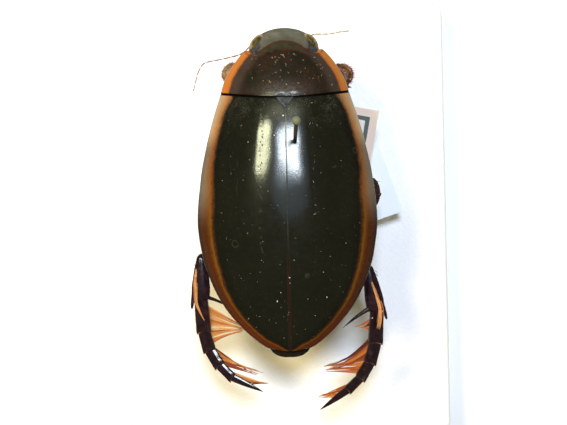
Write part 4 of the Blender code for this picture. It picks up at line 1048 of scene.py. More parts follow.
def rounded_outline(points, count=60):
    """A closed smooth outline through some points."""
    points = np.array(points, float)
    looped = np.concatenate([points[-2:], points, points[:3]])
    at = np.linspace(2, 2 + len(points), count, endpoint=False)
    k = at.astype(int)
    u = (at - k)[:, None]
    p0, p1, p2, p3 = looped[k - 1], looped[k], looped[k + 1], looped[k + 2]
    return 0.5 * (2 * p1 + (p2 - p0) * u + (2 * p0 - 5 * p1 + 4 * p2 - p3) * u**2
                  + (3 * p1 - p0 - 3 * p2 + p3) * u**3)


def make_mouthparts(material):
    lip = Shape()
    flat_plate(lip, LIP_OUTLINE, -1.85, -1.5, 0.3)
    make("labrum", lip, material, ["upper_lip"])
    for side, sign in SIDES:
        jaw = Shape()
        flat_plate(jaw, [(sign * x, v) for x, v in JAW_OUTLINE], -2.65, -2.25, 0.2)
        make(f"jaw_{side}", jaw, material, [f"mandible_{side}"])
    palps = Shape()
    flat_plate(palps, LOWER_LIP_OUTLINE, -3.45, -3.05, 0.2)
    for sign in (-1, 1):
        for points, joints in PALPS:
            path = smooth_path([(sign * x, v, z) for x, v, z in points], 8 * joints + 1)
            jointed(palps, path, joints, 0.19, 0.15)
    make("palps", palps, material, ["lower_lip_and_palps"])


def jointed(shape, path, segments, radius, tip_radius):
    """A feeler of many joints, each narrow at its base and swelling to its end."""
    sides = 12
    per = (len(path) - 1) // segments
    at = np.linspace(0, 1, len(SEGMENT_FORM))
    ring = np.concatenate([np.repeat(np.where(at < 0.1, 1.0, 0.0), sides), [1.0, 0.0]])
    for k in range(segments):
        part = path[k * per:(k + 1) * per + 1]
        points = np.stack([np.interp(at, np.linspace(0, 1, len(part)), axis) for axis in part.T], axis=-1)
        size = between(radius, tip_radius, k / max(segments - 1, 1)) * np.array(SEGMENT_FORM)
        tube(shape, points, size, size, sides, ring=ring)


def make_antennae(materials):
    for side, points in ANTENNAE.items():
        shape = Shape()
        path = smooth_path(points, 8 * ANTENNA_SEGMENTS + 1)
        jointed(shape, path, ANTENNA_SEGMENTS, ANTENNA_RADIUS, ANTENNA_TIP_RADIUS)
        make(f"feeler_{side}", shape, materials[side], [f"antenna_{side}"])


def coxal_front(t):
    middle, rise = COXAL_PLATE_FRONT
    return middle + rise * np.abs(t) ** 1.5


def coxal_rear(t):
    middle, rise = COXAL_PLATE_REAR
    return middle + rise * np.minimum(np.abs(t) / 0.35, 1) ** 2


def body_block(name, front, rear, rows, material, relief, node):
    """A length of the underside, with relief standing out of its belly, in millimetres."""
    t = np.sin(np.radians(np.linspace(-90, 90, 97)))
    share = (1 - np.cos(np.linspace(0, math.pi, rows)[:, None])) / 2
    v = between(front(t) - 0.02, rear(t) + 0.02, share)
    bottom = body_bottom(t, v)
    ends = np.minimum(front(t) - v, v - rear(t))
    height = relief(bottom[..., 0], v) - 0.09 * np.exp(-ends / 0.07)
    bottom[..., 2] -= height * smooth_step(1.0, 0.93, np.abs(t))
    shape = Shape()
    closed_pair(shape, body_top(t, v), bottom)
    make(name, shape, material, [node])


def make_underside(material):
    def chest_relief(x, v):
        keel = 0.45 * bump_at(x, 0.0, 0.42) * smooth_step(4.6, 3.6, v)
        return keel + 0.10 * bump_at(np.abs(x), 2.6, 0.5) + 0.03 * waves(x, v, 1.3, 31)

    def breast_relief(x, v):
        keel = 0.42 * bump_at(x, 0.0, 0.5) * smooth_step(-4.6, -1.2, v)
        groove = -0.07 * bump_at(x, 0.0, 0.07) * smooth_step(-4.0, -5.5, v)
        wing = 0.10 * smooth_step(-0.35, 0.35, v + 6.0 + 0.45 * np.abs(x))
        return keel + groove + wing + 0.02 * waves(x, v, 1.7, 32)

    def plate_relief(x, v):
        lines = 0.10 * bump_at(np.abs(x), 1.25 + 0.10 * (v + 13.5), 0.13)
        groove = -0.09 * bump_at(x, 0.0, 0.06)
        return lines + groove + 0.02 * waves(x, v, 1.9, 33)

    def belly_relief(x, v):
        fronts = (COXAL_PLATE_REAR[0],) + STERNITE_EDGES
        relief = np.zeros_like(v)
        for front, rear in zip(fronts, STERNITE_EDGES + (ABDOMEN_END_V,)):
            inside = (v <= front) & (v > rear)
            rise = np.clip((front - v) / (front - rear), 0, 1)
            relief = np.where(inside, STERNITE_STEP * rise - 0.10 * bump_at(v, rear, 0.05), relief)
        scars = 0.03 * bump_at(np.abs(x) / body_half_width(v), 0.62, 0.05)
        return relief + scars + 0.02 * waves(x, v, 1.5, 34)

    edge = pronotum_hind_edge
    body_block("chest_plates", pronotum_front_edge, lambda t: edge(t) + 0.05, 60, material,
               chest_relief, "chest")
    body_block("breast_plates", lambda t: edge(t) - 0.05, lambda t: coxal_front(t) + 0.03, 90, material,
               breast_relief, "breast")
    body_block("coxal_plates", lambda t: coxal_front(t) - 0.03, coxal_rear, 60, material, plate_relief,
               "hind_coxal_plates")
    body_block("belly_rings", lambda t: coxal_rear(t) - 0.06,
               lambda t: np.full_like(t, ABDOMEN_END_V - 0.1), 150, material, belly_relief, "abdomen")


def make_joint_skin(material):
    """Dark skin below the joint between pronotum and wing cases."""
    t = np.sin(np.radians(np.linspace(-86.5, 86.5, 81)))
    v = pronotum_hind_edge(t) + np.linspace(0.5, -0.5, 7)[:, None]
    upper = inner_back(t, v)
    upper[..., 0] *= (profile(OUTLINE, v) - 0.05) / (profile(OUTLINE, v) - RIM_WIDTH)
    upper[..., 2] += 0.10 * np.cos(np.linspace(-1.5, 1.5, 7))[:, None] - 0.12
    shape = Shape()
    closed_pair(shape, upper, upper - np.array([0, 0, 0.15]))
    make("joint_skin", shape, material)


def make_tail(material):
    t = np.linspace(-1, 1, 49)
    share = np.linspace(0, 1, 26)[:, None]
    rear = TAIL_TIP_V + 0.6 * np.abs(t) ** 3
    v = between(ABDOMEN_END_V - 0.05, rear, share)
    half = between(2.9, 1.95, share)
    top = float(profile(MARGIN_RISE, TAIL_TIP_V)) - SKIRT - 0.28
    rounding = 0.12 * np.exp(-np.minimum(half * (1 - np.abs(t)), v - rear) / 0.1)
    middle = (1 - t**2) * (1 - share)
    upper = point_grid(half * t, v, top - 0.12 * share + 0.16 * middle - rounding)
    lower = point_grid(half * t, v, top - 0.75 - 0.6 * middle + rounding)
    shape = Shape()
    closed_pair(shape, upper, lower)
    make("tail_plate", shape, material, ["tail_ring"])


def spine(shape, root, tip, radius, bend=(0.0, 0.0, 0.0), stations=9, sides=8):
    """A curved pointed spine, claw or spur."""
    share = np.linspace(0, 1, stations)
    path = np.array(root) + np.outer(share, np.array(tip) - np.array(root))
    path = path + np.outer(4 * share * (1 - share), bend)
    size = radius * (1 - share**1.7) + 0.012
    tube(shape, path, size, size, sides)


def rim_spines(shape, start, end, across, half, count, length, seed, radius=0.035):
    """Short stout bristles along both edges of a leg segment."""
    draw = np.random.default_rng(seed)
    along = unit(end - start)
    roots, tips = [], []
    for side in (-1, 1):
        for share in np.linspace(0.12, 0.95, count):
            root = between(start, end, share) + across * side * half * 0.85
            size = length * draw.uniform(0.7, 1.2)
            lift = (0, 0, draw.uniform(-0.1, 0.1))
            tips.append(root + across * side * size * 0.55 + along * size * 0.8 + lift)
            roots.append(root)
    strands(shape, curve_between(np.array(roots), np.array(tips), np.zeros((len(roots), 3)), 4), radius)


def flat_axes(start, end):
    along = unit(np.array(end) - np.array(start))
    return along, np.array([-along[1], along[0], 0.0]) / max(math.hypot(along[0], along[1]), 1e-6)


def make_coxa(side, part, centre, material):
    def notch(points):
        x, v, z = points.T.copy()
        z = z + 0.10 * bump_at(x - centre[0], 0.0, 0.12) + 0.03 * waves(x, v, 0.8, 41)
        return np.stack([x, v, z], axis=-1)

    shape = Shape()
    ball(shape, centre, [r + 0.12 for r in COXA_RADII], 40, 26, notch)
    make(f"{part}_hip_{side}", shape, material, [f"{part}_coxa_{side}"])


def make_fore_leg(side, legs, dark, palette_paint):
    make_coxa(side, "fore", legs["fore_coxa"], dark)
    femur = Shape()
    start, end = (np.array(p) for p in legs["fore_femur"])
    along, across = flat_axes(start, end)
    limb(femur, (start - along * 0.5, between(start, end, 0.5), end + along * 0.15),
         (0.3, 0.62, 0.72, 0.55, 0.4), (0.3, 0.45, 0.5, 0.42, 0.33))
    make(f"fore_thigh_{side}", femur, dark, [f"fore_femur_{side}"])
    tibia = Shape()
    start, end = (np.array(p) for p in legs["fore_tibia"])
    along, across = flat_axes(start, end)
    limb(tibia, (start - along * 0.2, end + along * 0.1), (0.28, 0.38, 0.46, 0.52), (0.26, 0.3, 0.32, 0.3))
    rim_spines(tibia, start, end, across, 0.45, 9, 0.5, 51)
    make(f"fore_shin_{side}", tibia, dark, [f"fore_tibia_{side}"])
    make_suction_foot(side, legs["fore_foot"], palette_paint)


def make_suction_foot(side, points, material):
    """The male's round pad with its suckers and hair fringe, and the last joints and claws of the foot."""
    root, middle, tip = (np.array(p) for p in points)
    shape = Shape()

    def dish(points):
        x, v, z = points.T.copy()
        out = np.hypot((x - middle[0]) / PALETTE_RADII[0], (v - middle[1]) / PALETTE_RADII[1])
        for seam in (0.38, 0.8):
            z = z - 0.07 * bump_at(out, seam, 0.06)
        z = z + 0.05 * waves(x, v, 0.9, 62)
        return np.stack([x, v, z], axis=-1)

    ball(shape, tuple(middle), PALETTE_RADII, 64, 24, dish)
    limb(shape, [root, between(root, middle, 0.6)], (0.24, 0.36), (0.22, 0.25), 8, 14)
    along = unit(tip - middle)
    edge = middle + along * 1.0
    limb(shape, [edge, between(edge, tip, 0.45)], (0.24, 0.27), (0.2, 0.22), 10, 14)
    limb(shape, [between(edge, tip, 0.4), between(edge, tip, 0.85)], (0.2, 0.25), (0.18, 0.2), 10, 14)
    across = np.array([-along[1], along[0], 0.0])
    start = between(edge, tip, 0.7)
    for sign in (-1, 1):
        aside = across * 0.08 * sign
        claw_tip = tip + across * 0.35 * sign + np.array([0.0, 0.0, -0.25])
        spine(shape, start + aside, claw_tip, 0.09, aside + (0, 0, 0.06))
    draw = np.random.default_rng(71 if side == "left" else 72)
    suckers = [((-0.45, 0.42), 0.42), ((0.5, 0.3), 0.3)]
    for ring_radius, count in ((0.35, 5), (0.62, 12), (0.9, 20)):
        for n in range(count):
            angle = math.tau * n / count + draw.uniform(-0.15, 0.15)
            spot = (math.cos(angle) * ring_radius * 1.25, -abs(math.sin(angle)) * ring_radius * 1.1 + 0.1)
            suckers.append((spot, draw.uniform(0.07, 0.1)))
    for (x, v), size in suckers:
        base = middle + np.array([x, v, -0.2])
        heights = np.array([0.0, -0.08, -0.12, -0.17, -0.15])
        widths = np.array([0.4, 0.4, 0.9, 1.0, 0.7]) * size
        path = base + np.outer(heights, (0.0, 0.0, 1.0))
        tube(shape, path, widths, widths, 14, (0.0, 1.0, 0.0))
    make(f"fore_pad_{side}", shape, material, [f"fore_foot_{side}"])
    make_pad_fringe(side, middle, draw)


def make_pad_fringe(side, middle, draw):
    """Short hair standing out all round the pad's rim."""
    count, points = 260, 5
    angles = np.sort(draw.uniform(0, math.tau, count))
    level = np.zeros(count)
    out = point_grid(np.cos(angles), np.sin(angles), level)
    roots = middle + out * np.array([PALETTE_RADII[0], PALETTE_RADII[1], 0.0]) * 0.94
    roots[:, 2] += draw.uniform(-0.12, 0.08, count)
    length = draw.uniform(0.15, 0.34, count)[:, None]
    lean = point_grid(-np.sin(angles), np.cos(angles), level) * draw.normal(0.1, 0.25, count)[:, None]
    drop = np.array([0.0, 0.0, -0.12]) * draw.uniform(0, 1, count)[:, None]
    tips = roots + (out + lean) * length + drop
    paths = curve_between(roots, tips, point_grid(level, level, 0.05), points)
    shape = Shape()
    strands(shape, paths, 0.017, 0.004, tint=draw.uniform(0.55, 1.0, count))
    patches = hair_patches(np.stack([angles / math.tau, draw.uniform(0.3, 0.7, count)], axis=-1), points)
    make(f"pad_fringe_{side}", shape, HAIR, patches=patches)


def make_mid_leg(side, legs, dark):
    make_coxa(side, "mid", legs["mid_coxa"], dark)
    femur = Shape()
    points = [np.array(p) for p in legs["mid_femur"]]
    along, across = flat_axes(points[0], points[-1])
    points[0] = points[0] - along * 0.4
    limb(femur, points, (0.3, 0.72, 0.82, 0.72, 0.5), (0.3, 0.48, 0.52, 0.5, 0.4), 34, 24, 0.08)
    rim_spines(femur, points[0], points[-1], across, 0.7, 14, 0.35, 52, 0.02)
    if side == "right":
        ball(femur, *KNEE)
    make(f"mid_thigh_{side}", femur, dark, [f"mid_femur_{side}"])
    tibia = Shape()
    start, end = (np.array(p) for p in legs["mid_tibia"])
    along, across = flat_axes(start, end)
    limb(tibia, (start - along * 0.35, end + along * 0.05), (0.32, 0.42, 0.5, 0.6), (0.3, 0.33, 0.35, 0.38))
    rim_spines(tibia, start, end, across, 0.5, 14, 0.6, 53)
    for sign in (-1, 1):
        root = end - along * 0.3 + across * 0.32 * sign
        spine(tibia, root, root + along * 1.3 + across * 0.7 * sign, 0.12)
    make(f"mid_shin_{side}", tibia, dark, [f"mid_tibia_{side}"])
    foot = Shape()
    path = smooth_path(legs["mid_foot"], 6)
    for k in range(5):
        root = between(path[k], path[k + 1], -0.12 if k else -0.05)
        limb(foot, (root, path[k + 1]), (0.2, 0.28, 0.34), (0.18, 0.22, 0.26), 12, 14)
    along, across = flat_axes(path[-2], path[-1])
    for sign in (-1, 1):
        root = path[-1] - along * 0.2 + across * 0.1 * sign
        tip = path[-1] + along * 0.7 + across * 0.4 * sign - np.array([0.0, 0.0, 0.1])
        spine(foot, root, tip, 0.08, (0.0, 0.0, 0.08))
    rim_spines(foot, path[0], path[-1], across, 0.3, 16, 0.45, 54, 0.02)
    make(f"mid_tarsus_{side}", foot, dark, [f"mid_foot_{side}"])


def foot_axes(start, end, outward):
    """Directions along a joint of the hind foot, and across it to the foot's outer edge."""
    along = unit(end - start)
    sideways = np.array([along[1], -along[0], 0.0])
    return along, sideways * np.sign(sideways[0]) * outward


def make_hind_leg(side, outward, legs, dark, foot_paint):
    femur = Shape()
    points = [np.array(p) for p in legs["hind_femur"]]
    along = unit(points[-1] - points[0])
    points[0] = points[0] - along * 0.35
    points[-1] = points[-1] + along * 0.2
    limb(femur, points, (0.45, 1.0, 1.15, 1.0, 0.68), (0.35, 0.55, 0.62, 0.55, 0.42), 40, 28, 0.08)
    make(f"hind_thigh_{side}", femur, dark, [f"hind_femur_{side}"])
    make_hind_tibia(side, outward, [np.array(p) for p in legs["hind_tibia"]], foot_paint)
    make_hind_foot(side, outward, np.array(legs["hind_foot"]), foot_paint)


def make_hind_tibia(side, outward, points, material):
    """The short broad shin with its two spurs."""
    shape = Shape()
    start, end = points
    along = unit(end - start)
    inward = np.array([-outward, 0.0, 0.0])
    limb(shape, (start - along * 0.25, end + along * 0.1), (0.45, 0.72, 0.92, 1.05, 1.0),
         (0.38, 0.44, 0.46, 0.45, 0.4), 34, 28, 0.10)
    root = end + inward * 0.7 - along * 0.35
    reach_in, reach_along, thickness = SPUR_REACH[side]
    spine(shape, root, root + inward * reach_in + along * reach_along, thickness, (0, 0.1, -0.15), 12, 10)
    root = end - inward * 0.85 - along * 0.9
    sizes = (0.2, 0.2, 0.13)
    limb(shape, (root, root + along * 1.85 - inward * 0.12), sizes, sizes, 12, 12)
    if side == "right":
        ball(shape, *CRUMB, 20, 12, ring=2.0)
    across = np.array([-along[1], along[0], 0.0])
    rim_spines(shape, start, end, across, 0.85, 12, 0.4, 55, 0.03)
    make(f"hind_shin_{side}", shape, material, [f"hind_tibia_{side}"])


def blade_top(x, half, depth, inner_slope):
    """Height of a hind foot joint's top over its middle, from its inner (negative) to its outer edge."""
    crest = -0.25 * half
    roof = depth - np.where(x < crest, (crest - x) * inner_slope, (x - crest) * 0.5)
    return np.maximum(roof, 0.05) * np.sqrt(1 - np.abs(x / half) ** 26)


def foot_joint_sizes(side, k, half, depth, share):
    """Half width and height along joint k of a hind foot, the last one tapering to the claws."""
    if k < 4:
        width = half * profile([(0, 0.9), (0.3, 0.96), (0.75, 1.0), (0.93, 1.02), (1.0, 0.95)], share)
        rise = [(0, 0.78), (0.3, 0.9), (0.8, 1.0), (0.95, 1.01), (1.0, 0.86)]
        if side == "left" and k > 1:
            rise = [(0, 0.25), (0.5, 0.72), (0.9, 1.13), (1.0, 1.05)]
        return width, depth * profile(rise, share)
    width = half * np.minimum(1.0, 0.95 + share * 0.4) * (1 - share**1.9) + 0.03
    if side == "left":
        return width, depth * (1 - 0.9 * share**6) * 0.8
    return width, depth * (1 - 0.93 * share**1.6)


def make_hind_foot(side, outward, points, material):
    """Five flattened joints that fit into one another, each with a pale rim and a pointed outer corner."""
    shape = Shape()
    sides, stations = 36, 24
    angles = math.tau * (np.arange(sides) + 0.5) / sides
    across, high = np.cos(angles), np.sin(angles)
    share = np.linspace(0, 1, stations)
    # The end is cut aslant, so that its outer corner reaches further back than its inner one.
    end_slant = np.outer(share**3, 0.10 + 0.28 * np.maximum(across, 0) ** 2)
    end_ring = smooth_step(0.95, 0.99, np.repeat(share, sides))
    end_ring = end_ring * np.tile((0.45 if side == "left" else 0.7) + 0.6 * np.maximum(across, 0), stations)
    for k, half in enumerate(HIND_FOOT_WIDTHS):
        start, end = points[k], points[k + 1]
        along, sideways = foot_axes(start, end, outward)
        lift = np.cross(sideways, along)
        lift = lift * np.sign(lift[2])
        inner_joint = k < 4
        depth = HIND_FOOT_DEPTH * (1 - 0.1 * k)
        width, height = foot_joint_sizes(side, k, half, depth, share[:, None])
        path = start - along * (0.42 if k == 0 else 0.3) + np.outer(share, end - start + along * 0.4)
        x = width * across
        top = blade_top(x, width * 1.001, height, FOOT_FACETS[side][k])
        z = np.where(high > 0, top, -0.8 * height * np.sqrt(1 - (x / (width * 1.001)) ** 2))
        rings = path[:, None] + sideways * x[..., None] + lift * z[..., None]
        rings = rings + along * end_slant[..., None] * inner_joint
        shape.add(rings, loft_faces(stations, sides), ring=end_ring * inner_joint)
        if inner_joint:
            corner = end - along * 0.3 + sideways * (half - 0.14)
            spine(shape, corner, corner + along * 0.5 + sideways * 0.06, 0.09, (0, 0, 0), 7, 8)
    make(f"hind_tarsus_{side}", shape, material, [f"hind_foot_{side}"])


def bundle_paths(side, draw, count, stations):
    """Hairs that lie one over another along the shin's bundle: where each starts, and its points."""
    guide = smooth_path(BUNDLES[side], 80)
    heading = unit(np.gradient(guide, axis=0))
    across = point_grid(-heading[:, 1], heading[:, 0], 0.0)
    first = np.sort(draw.uniform(0, 0.66, count))
    last = np.minimum(first + draw.uniform(0.28, 0.5, count), draw.uniform(0.9, 1.0, count))
    at = between(first[:, None], last[:, None], np.linspace(0, 1, stations)) * 79
    aside = draw.normal(0, 0.075, count)[:, None] * profile(BUNDLE_WIDTHS[side], at)

    def taken(line):
        return np.stack([np.interp(at, np.arange(80), axis) for axis in line.T], axis=-1)

    paths = taken(guide) + taken(across) * aside[..., None]
    paths[..., 2] += np.abs(draw.normal(0, 0.05, count))[:, None]
    paths[:, 0, 2] -= 0.2
    return first, paths


def make_fans(side, outward):
    """Swimming hair of the hind foot, stuck together in fans that gather to a tip."""
    points = np.array(LEGS[side]["hind_foot"])
    shape, roots_on_map = Shape(), []
    draw = np.random.default_rng(81 if side == "left" else 82)
    stations = 8
    for first, last, tip, count, spread, tint, bow in FOOT_FANS[side]:
        tip = np.array(tip)
        locks = max(4, count // 16)
        at = np.sort(between(first, last, np.clip(draw.uniform(0, 1, count) * 1.04 - 0.02, 0, 1)))
        lock = np.minimum(((at - first) / (last - first) * locks).astype(int), locks - 1)
        lock_pull = draw.normal(0, 1, (locks, 3)) * np.array([0.30, 0.30, 0.12]) * spread
        lock_reach = draw.uniform(0.84, 1.03, locks)
        lock_tint = draw.normal(tint, 0.2, locks)
        lock_bow = draw.normal(0, 0.05, locks)
        roots, bows = np.empty((count, 3)), np.empty((count, 3))
        for n, place in enumerate(at):
            k = min(int(place), 4)
            start, end = points[k], points[k + 1]
            along, sideways = foot_axes(start, end, outward)
            half = HIND_FOOT_WIDTHS[k] * (1.0 if k < 4 else 1 - (place - k) * 0.9)
            roots[n] = between(start, end, place - k) - sideways * half * draw.uniform(0.5, 0.85)
            roots[n, 2] += draw.uniform(-0.2, 0.12)
            bows[n] = along * between(*bow, lock[n] / locks)
        tips = tip + lock_pull[lock] + draw.normal(0, 0.05, (count, 3)) * spread
        tips = roots + (tips - roots) * (lock_reach[lock] * draw.uniform(0.86, 1.04, count))[:, None]
        bows = bows + lock_bow[lock][:, None] * np.array([0.6, 1.0, 0.5]) + draw.normal(0, 0.03, (count, 3))
        bows[:, 2] -= 0.05
        paths = curve_between(roots, tips, bows, stations)
        share = np.linspace(0, 1, stations)[None, :, None]
        # Within a lock the hairs draw together before its tip.
        for m in range(locks):
            inside = lock == m
            if inside.any():
                centre = paths[inside].mean(0, keepdims=True)
                paths[inside] += (centre - paths[inside]) * 0.72 * share**1.2 * (1 - 0.5 * share**4)
        hair_tint = lock_tint[lock] + draw.normal(0, 0.09, count)
        strands(shape, paths, 0.032, 0.007, tint=np.clip(hair_tint, 0, 1))
        roots_on_map.append(np.stack([at / 5, draw.uniform(0.1, 0.3, count)], axis=-1))
    first, paths = bundle_paths(side, draw, 260, stations)
    strands(shape, paths, 0.028, 0.007, tint=np.clip(draw.normal(0.30, 0.2, len(first)), 0, 1))
    roots_on_map.append(np.stack([first, draw.uniform(0.5, 0.8, len(first))], axis=-1))
    patches = hair_patches(np.concatenate(roots_on_map), stations)
    make(f"swimming_hair_{side}", shape, HAIR, patches=patches)


def make_pin(material):
    shape = Shape()
    foot = PIN_FOOT_Z - MARGIN_Z
    top = foot + PIN_LENGTH * math.cos(PIN_LEAN)
    share = np.linspace(0, 1, 60)
    path = np.array([pin_point(z) for z in between(foot, top, share)])
    size = PIN_RADIUS * np.minimum(1, 0.12 + share * 22)
    high = np.append(np.repeat(path[:, 2], 24), (foot, top)) - PIN_ENTRY[2]
    tube(shape, path, size, size, 24, (0.0, 1.0, 0.0), high=high)

    def squash(points):
        waist = top - 0.12
        low = points[:, 2] < waist
        points[low, 2] = waist + (points[low, 2] - waist) * 0.5
        return points

    radii = (PIN_HEAD_RADIUS, PIN_HEAD_RADIUS, PIN_HEAD_RADIUS * 0.8)
    ball(shape, tuple(pin_point(top)), radii, 40, 24, squash, knob=1.0, high=10.0)
    make("specimen_pin", shape, material, ["pin"])


def make_label(name, material, curl):
    """A card on the pin, slightly curled, with edges that were cut by hand."""
    width, length, turn, top, (aside, ahead) = LABELS[name]
    high = top - MARGIN_Z
    across = np.linspace(-1, 1, 90)
    along = np.linspace(-1, 1, 70)[:, None]
    ragged_x = 1 + 0.004 * waves(along * 9, 0 * along, 5.0, 91)
    ragged_y = 1 + 0.005 * waves(across * 9, 0 * across, 4.0, 92)
    x = across * width / 2 * ragged_x
    y = along * length / 2 * ragged_y
    bend = curl * (across**2 - 0.3) * 0.5 + curl * 0.6 * along**2 + 0.02 * waves(x, y, 6.0, 93)
    border = np.minimum(width / 2 * (1 - np.abs(across)), length / 2 * (1 - np.abs(along)))
    angle = math.radians(turn)
    centre = pin_point(high)
    local_x, local_y = x + aside, y + ahead
    world_x = centre[0] + local_x * math.cos(angle) - local_y * math.sin(angle)
    world_v = centre[1] + local_x * math.sin(angle) + local_y * math.cos(angle)
    upper = point_grid(world_x, world_v, high + bend - 0.04 * np.exp(-border / 0.05))
    lower = point_grid(world_x, world_v, high + bend - LABEL_THICKNESS)
    shape = Shape()
    closed_pair(shape, upper, lower, border=border)
    make(f"{name}_card", shape, material, [name])


def make_base(material):
    """The foam block, its edges rounded and slightly uneven."""
    half = np.array(BASE_SIZE[:2]) / 2
    low, high = -MARGIN_Z, BASE_SIZE[2] - MARGIN_Z
    corner = 1.2
    around = []
    for sx, sy, start in ((1, -1, -90), (1, 1, 0), (-1, 1, 90), (-1, -1, 180)):
        for angle in np.radians(np.linspace(start, start + 90, 9)):
            around.append((sx * (half[0] - corner) + corner * math.cos(angle),
                           sy * (half[1] - corner) + corner * math.sin(angle)))
    dense = []
    for (ax, ay), (bx, by) in zip(around, around[1:] + around[:1]):
        steps = max(1, int(math.hypot(bx - ax, by - ay)))
        dense += [(ax + (bx - ax) * k / steps, ay + (by - ay) * k / steps) for k in range(steps)]
    # Height and inset of each ring, from the underside up the wall and over the edge to the top's middle.
    levels = [(low, 0.25), (low + 0.25, 0.0)] + [(z, 0.0) for z in np.linspace(low + 1.2, high - 1.0, 6)]
    for angle in np.radians((10, 35, 60, 90)):
        levels.append((high - BASE_EDGE * (1 - math.sin(angle)), BASE_EDGE * (1 - math.cos(angle))))
    levels += [(high, inset) for inset in np.linspace(2.0, 19.0, 12)]
    grid = []
    for z, inset in levels:
        x, y = (np.array(dense) * (half - inset) / half).T
        wobble = 0.03 * waves(x, y + z, 7.0, 95) if z == high else 0
        grid.append(point_grid(x, y - BASE_OF_ELYTRA_Y, z - 0.02 + wobble))
    shape = Shape()
    shape.add(grid, loft_faces(len(grid), len(dense)))
    make("foam_base", shape, material, ["stand_base"], sharp=50.0)


def back_point(x, v, lift=0.0):
    """A point on the outside of the back over a place in plan."""
    t = np.clip(x / profile(OUTLINE, v), -1, 1)
    z = profile(MARGIN_RISE, v) + profile(BACK_HEIGHT, v) * back_arch(t)
    return np.stack([x, v, z + lift], axis=-1)


def make_dust(material):
    """Flakes of dust and short fibres that lie on the back."""
    draw = np.random.default_rng(101)
    shape = Shape()
    count = 190
    v = draw.uniform(-26.8, 4.6, count)
    v[:30] = draw.uniform(1.0, 4.8, 30)
    x = draw.uniform(-0.76, 0.76, count) * profile(OUTLINE, v)
    spots = back_point(x, v, 0.01)
    size = draw.gamma(1.3, 0.010, count) + 0.008
    tint = np.where(np.arange(count) < 30, draw.uniform(0.3, 1.0, count), draw.uniform(0, 0.3, count))
    flake = np.array([(1, 0, 0), (0, 1, 0), (-1, 0, 0), (0, -1, 0), (0, 0, 0.6), (0, 0, -0.6)])
    faces = [(0, 1, 4), (1, 2, 4), (2, 3, 4), (3, 0, 4), (1, 0, 5), (2, 1, 5), (3, 2, 5), (0, 3, 5)]
    for n in range(count):
        corners = draw.normal(0, 1, (6, 3)) * 0.25 + flake
        shape.add(spots[n] + corners * size[n], faces, tint=tint[n])
    fibres = 40
    v = np.concatenate([draw.uniform(0.8, 4.6, 28), draw.uniform(-26, 0, fibres - 28)])
    x = draw.uniform(-0.7, 0.7, fibres) * profile(OUTLINE, v)
    angle = draw.uniform(0, math.tau, fibres)
    length = draw.uniform(0.1, 0.34, fibres)
    share = np.linspace(-0.5, 0.5, 7)[None]
    curl = draw.normal(0, 0.5, fibres)[:, None]
    turn = angle[:, None] + curl * share * 2
    px = x[:, None] + np.cos(turn) * share * length[:, None]
    pv = v[:, None] + np.sin(turn) * share * length[:, None]
    strands(shape, back_point(px, pv, 0.02), 0.007, 0.004, tint=draw.uniform(0.2, 1.0, fibres))
    make("surface_dust", shape, material)


def make_floor():
    p = Paint("floor_paper", Specular_IOR_Level=0.2)
    colour = p.mix(p.step(p.noise(40.0, 3.0), 0.3, 0.7), (0.93, 0.93, 0.93), (0.95, 0.95, 0.95))
    # Painted reflection: to glossy rays the floor shows a dark colour, standing in for a dim room beside
    # small pale paper.
    colour = p.mix(p.node("ShaderNodeLightPath", {}).outputs["Is Glossy Ray"], colour, (0.12, 0.11, 0.09))
    material = p.finish(Base_Color=colour, Roughness=p.step(p.noise(5.0), 0.3, 0.7, 0.85, 0.95))
    half, below = 1.5, -0.00005
    corners = [(-half, -half, below), (half, -half, below), (half, half, below), (-half, half, below)]
    mesh = bpy.data.meshes.new("floor")
    mesh.from_pydata(corners, [], [(0, 1, 2, 3)])
    mesh.materials.append(material)
    floor = bpy.data.objects.new("floor", mesh)
    bpy.context.scene.collection.objects.link(floor)


def area_light(name, direction, size, radiance, colour, mirrored=True, spread=True):
    """A lamp in some direction from the middle of the back, given in degrees to the right and forward."""
    right, forward = (math.tan(math.radians(a)) for a in direction)
    toward = Vector((right, forward, 1.0)).normalized()
    x_axis = (Vector((1.0, 0.0, 0.0)) - toward * toward.x).normalized()
    centre = Vector((0.0, (BASE_OF_ELYTRA_Y - 7.0) * MM, (MARGIN_Z + 5.0) * MM))
    data = bpy.data.lights.new(name, "AREA")
    data.shape = "ELLIPSE"
    data.size, data.size_y = size
    data.energy = radiance * math.pi * size[0] * size[1]
    data.color = colour
    light = bpy.data.objects.new(name, data)
    turned = Matrix((x_axis, toward.cross(x_axis), toward)).transposed().to_4x4()
    light.matrix_world = Matrix.Translation(centre + toward * LAMP_DISTANCE) @ turned
    light.visible_camera = False
    light.visible_glossy = mirrored
    light.visible_diffuse = spread
    bpy.context.scene.collection.objects.link(light)


def make_world():
    """An even pale room that looks dimmer in reflections, as a dark ceiling does."""
    world = bpy.data.worlds.new("studio")
    world.use_nodes = True
    tree = world.node_tree
    background = tree.nodes["Background"]
    path = tree.nodes.new("ShaderNodeLightPath")
    strength = tree.nodes.new("ShaderNodeMapRange")
    strength.inputs["To Min"].default_value = WORLD_STRENGTH
    strength.inputs["To Max"].default_value = WORLD_IN_REFLECTION
    tree.links.new(path.outputs["Is Glossy Ray"], strength.inputs["Value"])
    tree.links.new(strength.outputs["Result"], background.inputs["Strength"])
    background.inputs["Color"].default_value = (1.0, 0.84, 0.40, 1.0)
    bpy.context.scene.world = world


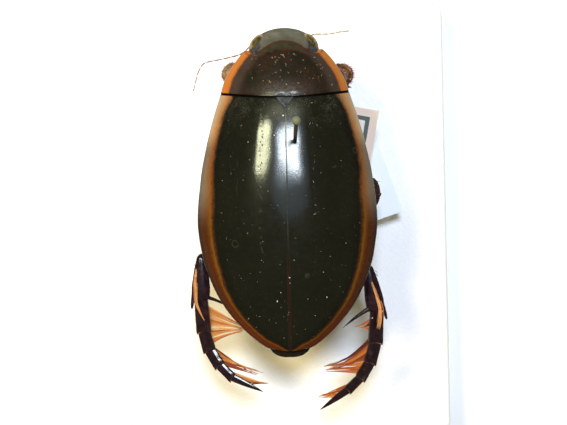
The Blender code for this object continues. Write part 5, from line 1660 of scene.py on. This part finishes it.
def make_stage():
    make_floor()
    make_world()
    area_light("warm_lamp", (-25.6, 10.45), (0.100, 0.056), 15.5, WARM_LAMP, spread=False)
    area_light("warm_fill", (-25.8, 9.9), (0.10, 0.07), 33.0, (1.0, 0.83, 0.48), mirrored=False)
    area_light("cool_lamp", (3.3, 6.15), (0.115, 0.026), 23.0, COOL_LAMP, spread=False)
    area_light("cool_halo", (3.4, 6.0), (0.155, 0.065), 2.6, (0.7, 0.85, 1.0), spread=False)
    area_light("cool_glow", (4.0, 5.6), (0.22, 0.15), 0.35, (0.5, 0.72, 1.0), spread=False)
    area_light("cool_fill", (1.0, 15.0), (0.07, 0.07), 68.0, (0.70, 0.80, 1.0), mirrored=False)
    camera = bpy.data.objects.new("camera", bpy.data.cameras.new("camera"))
    bpy.context.scene.collection.objects.link(camera)
    camera.data.sensor_width = 36.0
    camera.data.lens = CAMERA_LENS
    camera.data.clip_start = 0.01
    place = (Vector(CAMERA_PLACE) + Vector(ORIGIN)) * MM
    camera.matrix_world = Matrix.Translation(place) @ Matrix.Rotation(CAMERA_TURN, 4, "Z")
    bpy.context.scene.camera = camera
    bpy.context.scene.view_settings.view_transform = "Standard"


make_stage()
HAIR = hair_material()
DARK = dark_horn_material("belly_horn", (0.022, 0.009, 0.006), (0.06, 0.022, 0.013))
FOOT = foot_material()
make_elytra(elytron_material())
make_pronotum(pronotum_material())
make_scutellum(scutellum_material())
MOUTH = amber_material("mouth_horn", (0.16, 0.06, 0.02), (0.34, 0.14, 0.05))
make_head(head_material(), MOUTH, eye_material())
make_antennae({
    "left": amber_material("feeler_horn_left", (0.16, 0.06, 0.035), (0.26, 0.12, 0.06)),
    "right": amber_material("feeler_horn_right", (0.30, 0.22, 0.09), (0.42, 0.33, 0.16)),
})
make_underside(DARK)
make_joint_skin(dark_horn_material("joint_horn", JOINT_COLOUR, (0.007, 0.005, 0.004), (0.6, 0.8)))
make_tail(dark_horn_material("tail_horn", (0.006, 0.005, 0.004), (0.015, 0.010, 0.008), (0.1, 0.22), 0.4))
for side, outward in SIDES:
    make_fore_leg(side, LEGS[side], DARK, amber_material(f"pad_horn_{side}", *PAD_TINTS[side]))
    make_mid_leg(side, LEGS[side], DARK)
    make_hind_leg(side, outward, LEGS[side], DARK, FOOT)
    make_fans(side, outward)
make_pin(pin_material())
make_label("label_upper", card_material("upper_card", (0.80, 0.78, 0.74), (0.78, 0.62, 0.50), 0.28), 0.35)
make_label("label_lower", card_material("lower_card", (0.93, 0.95, 0.96), (0.88, 0.94, 0.97), 0.0), 0.3)
make_base(foam_material())
make_dust(speck_material())
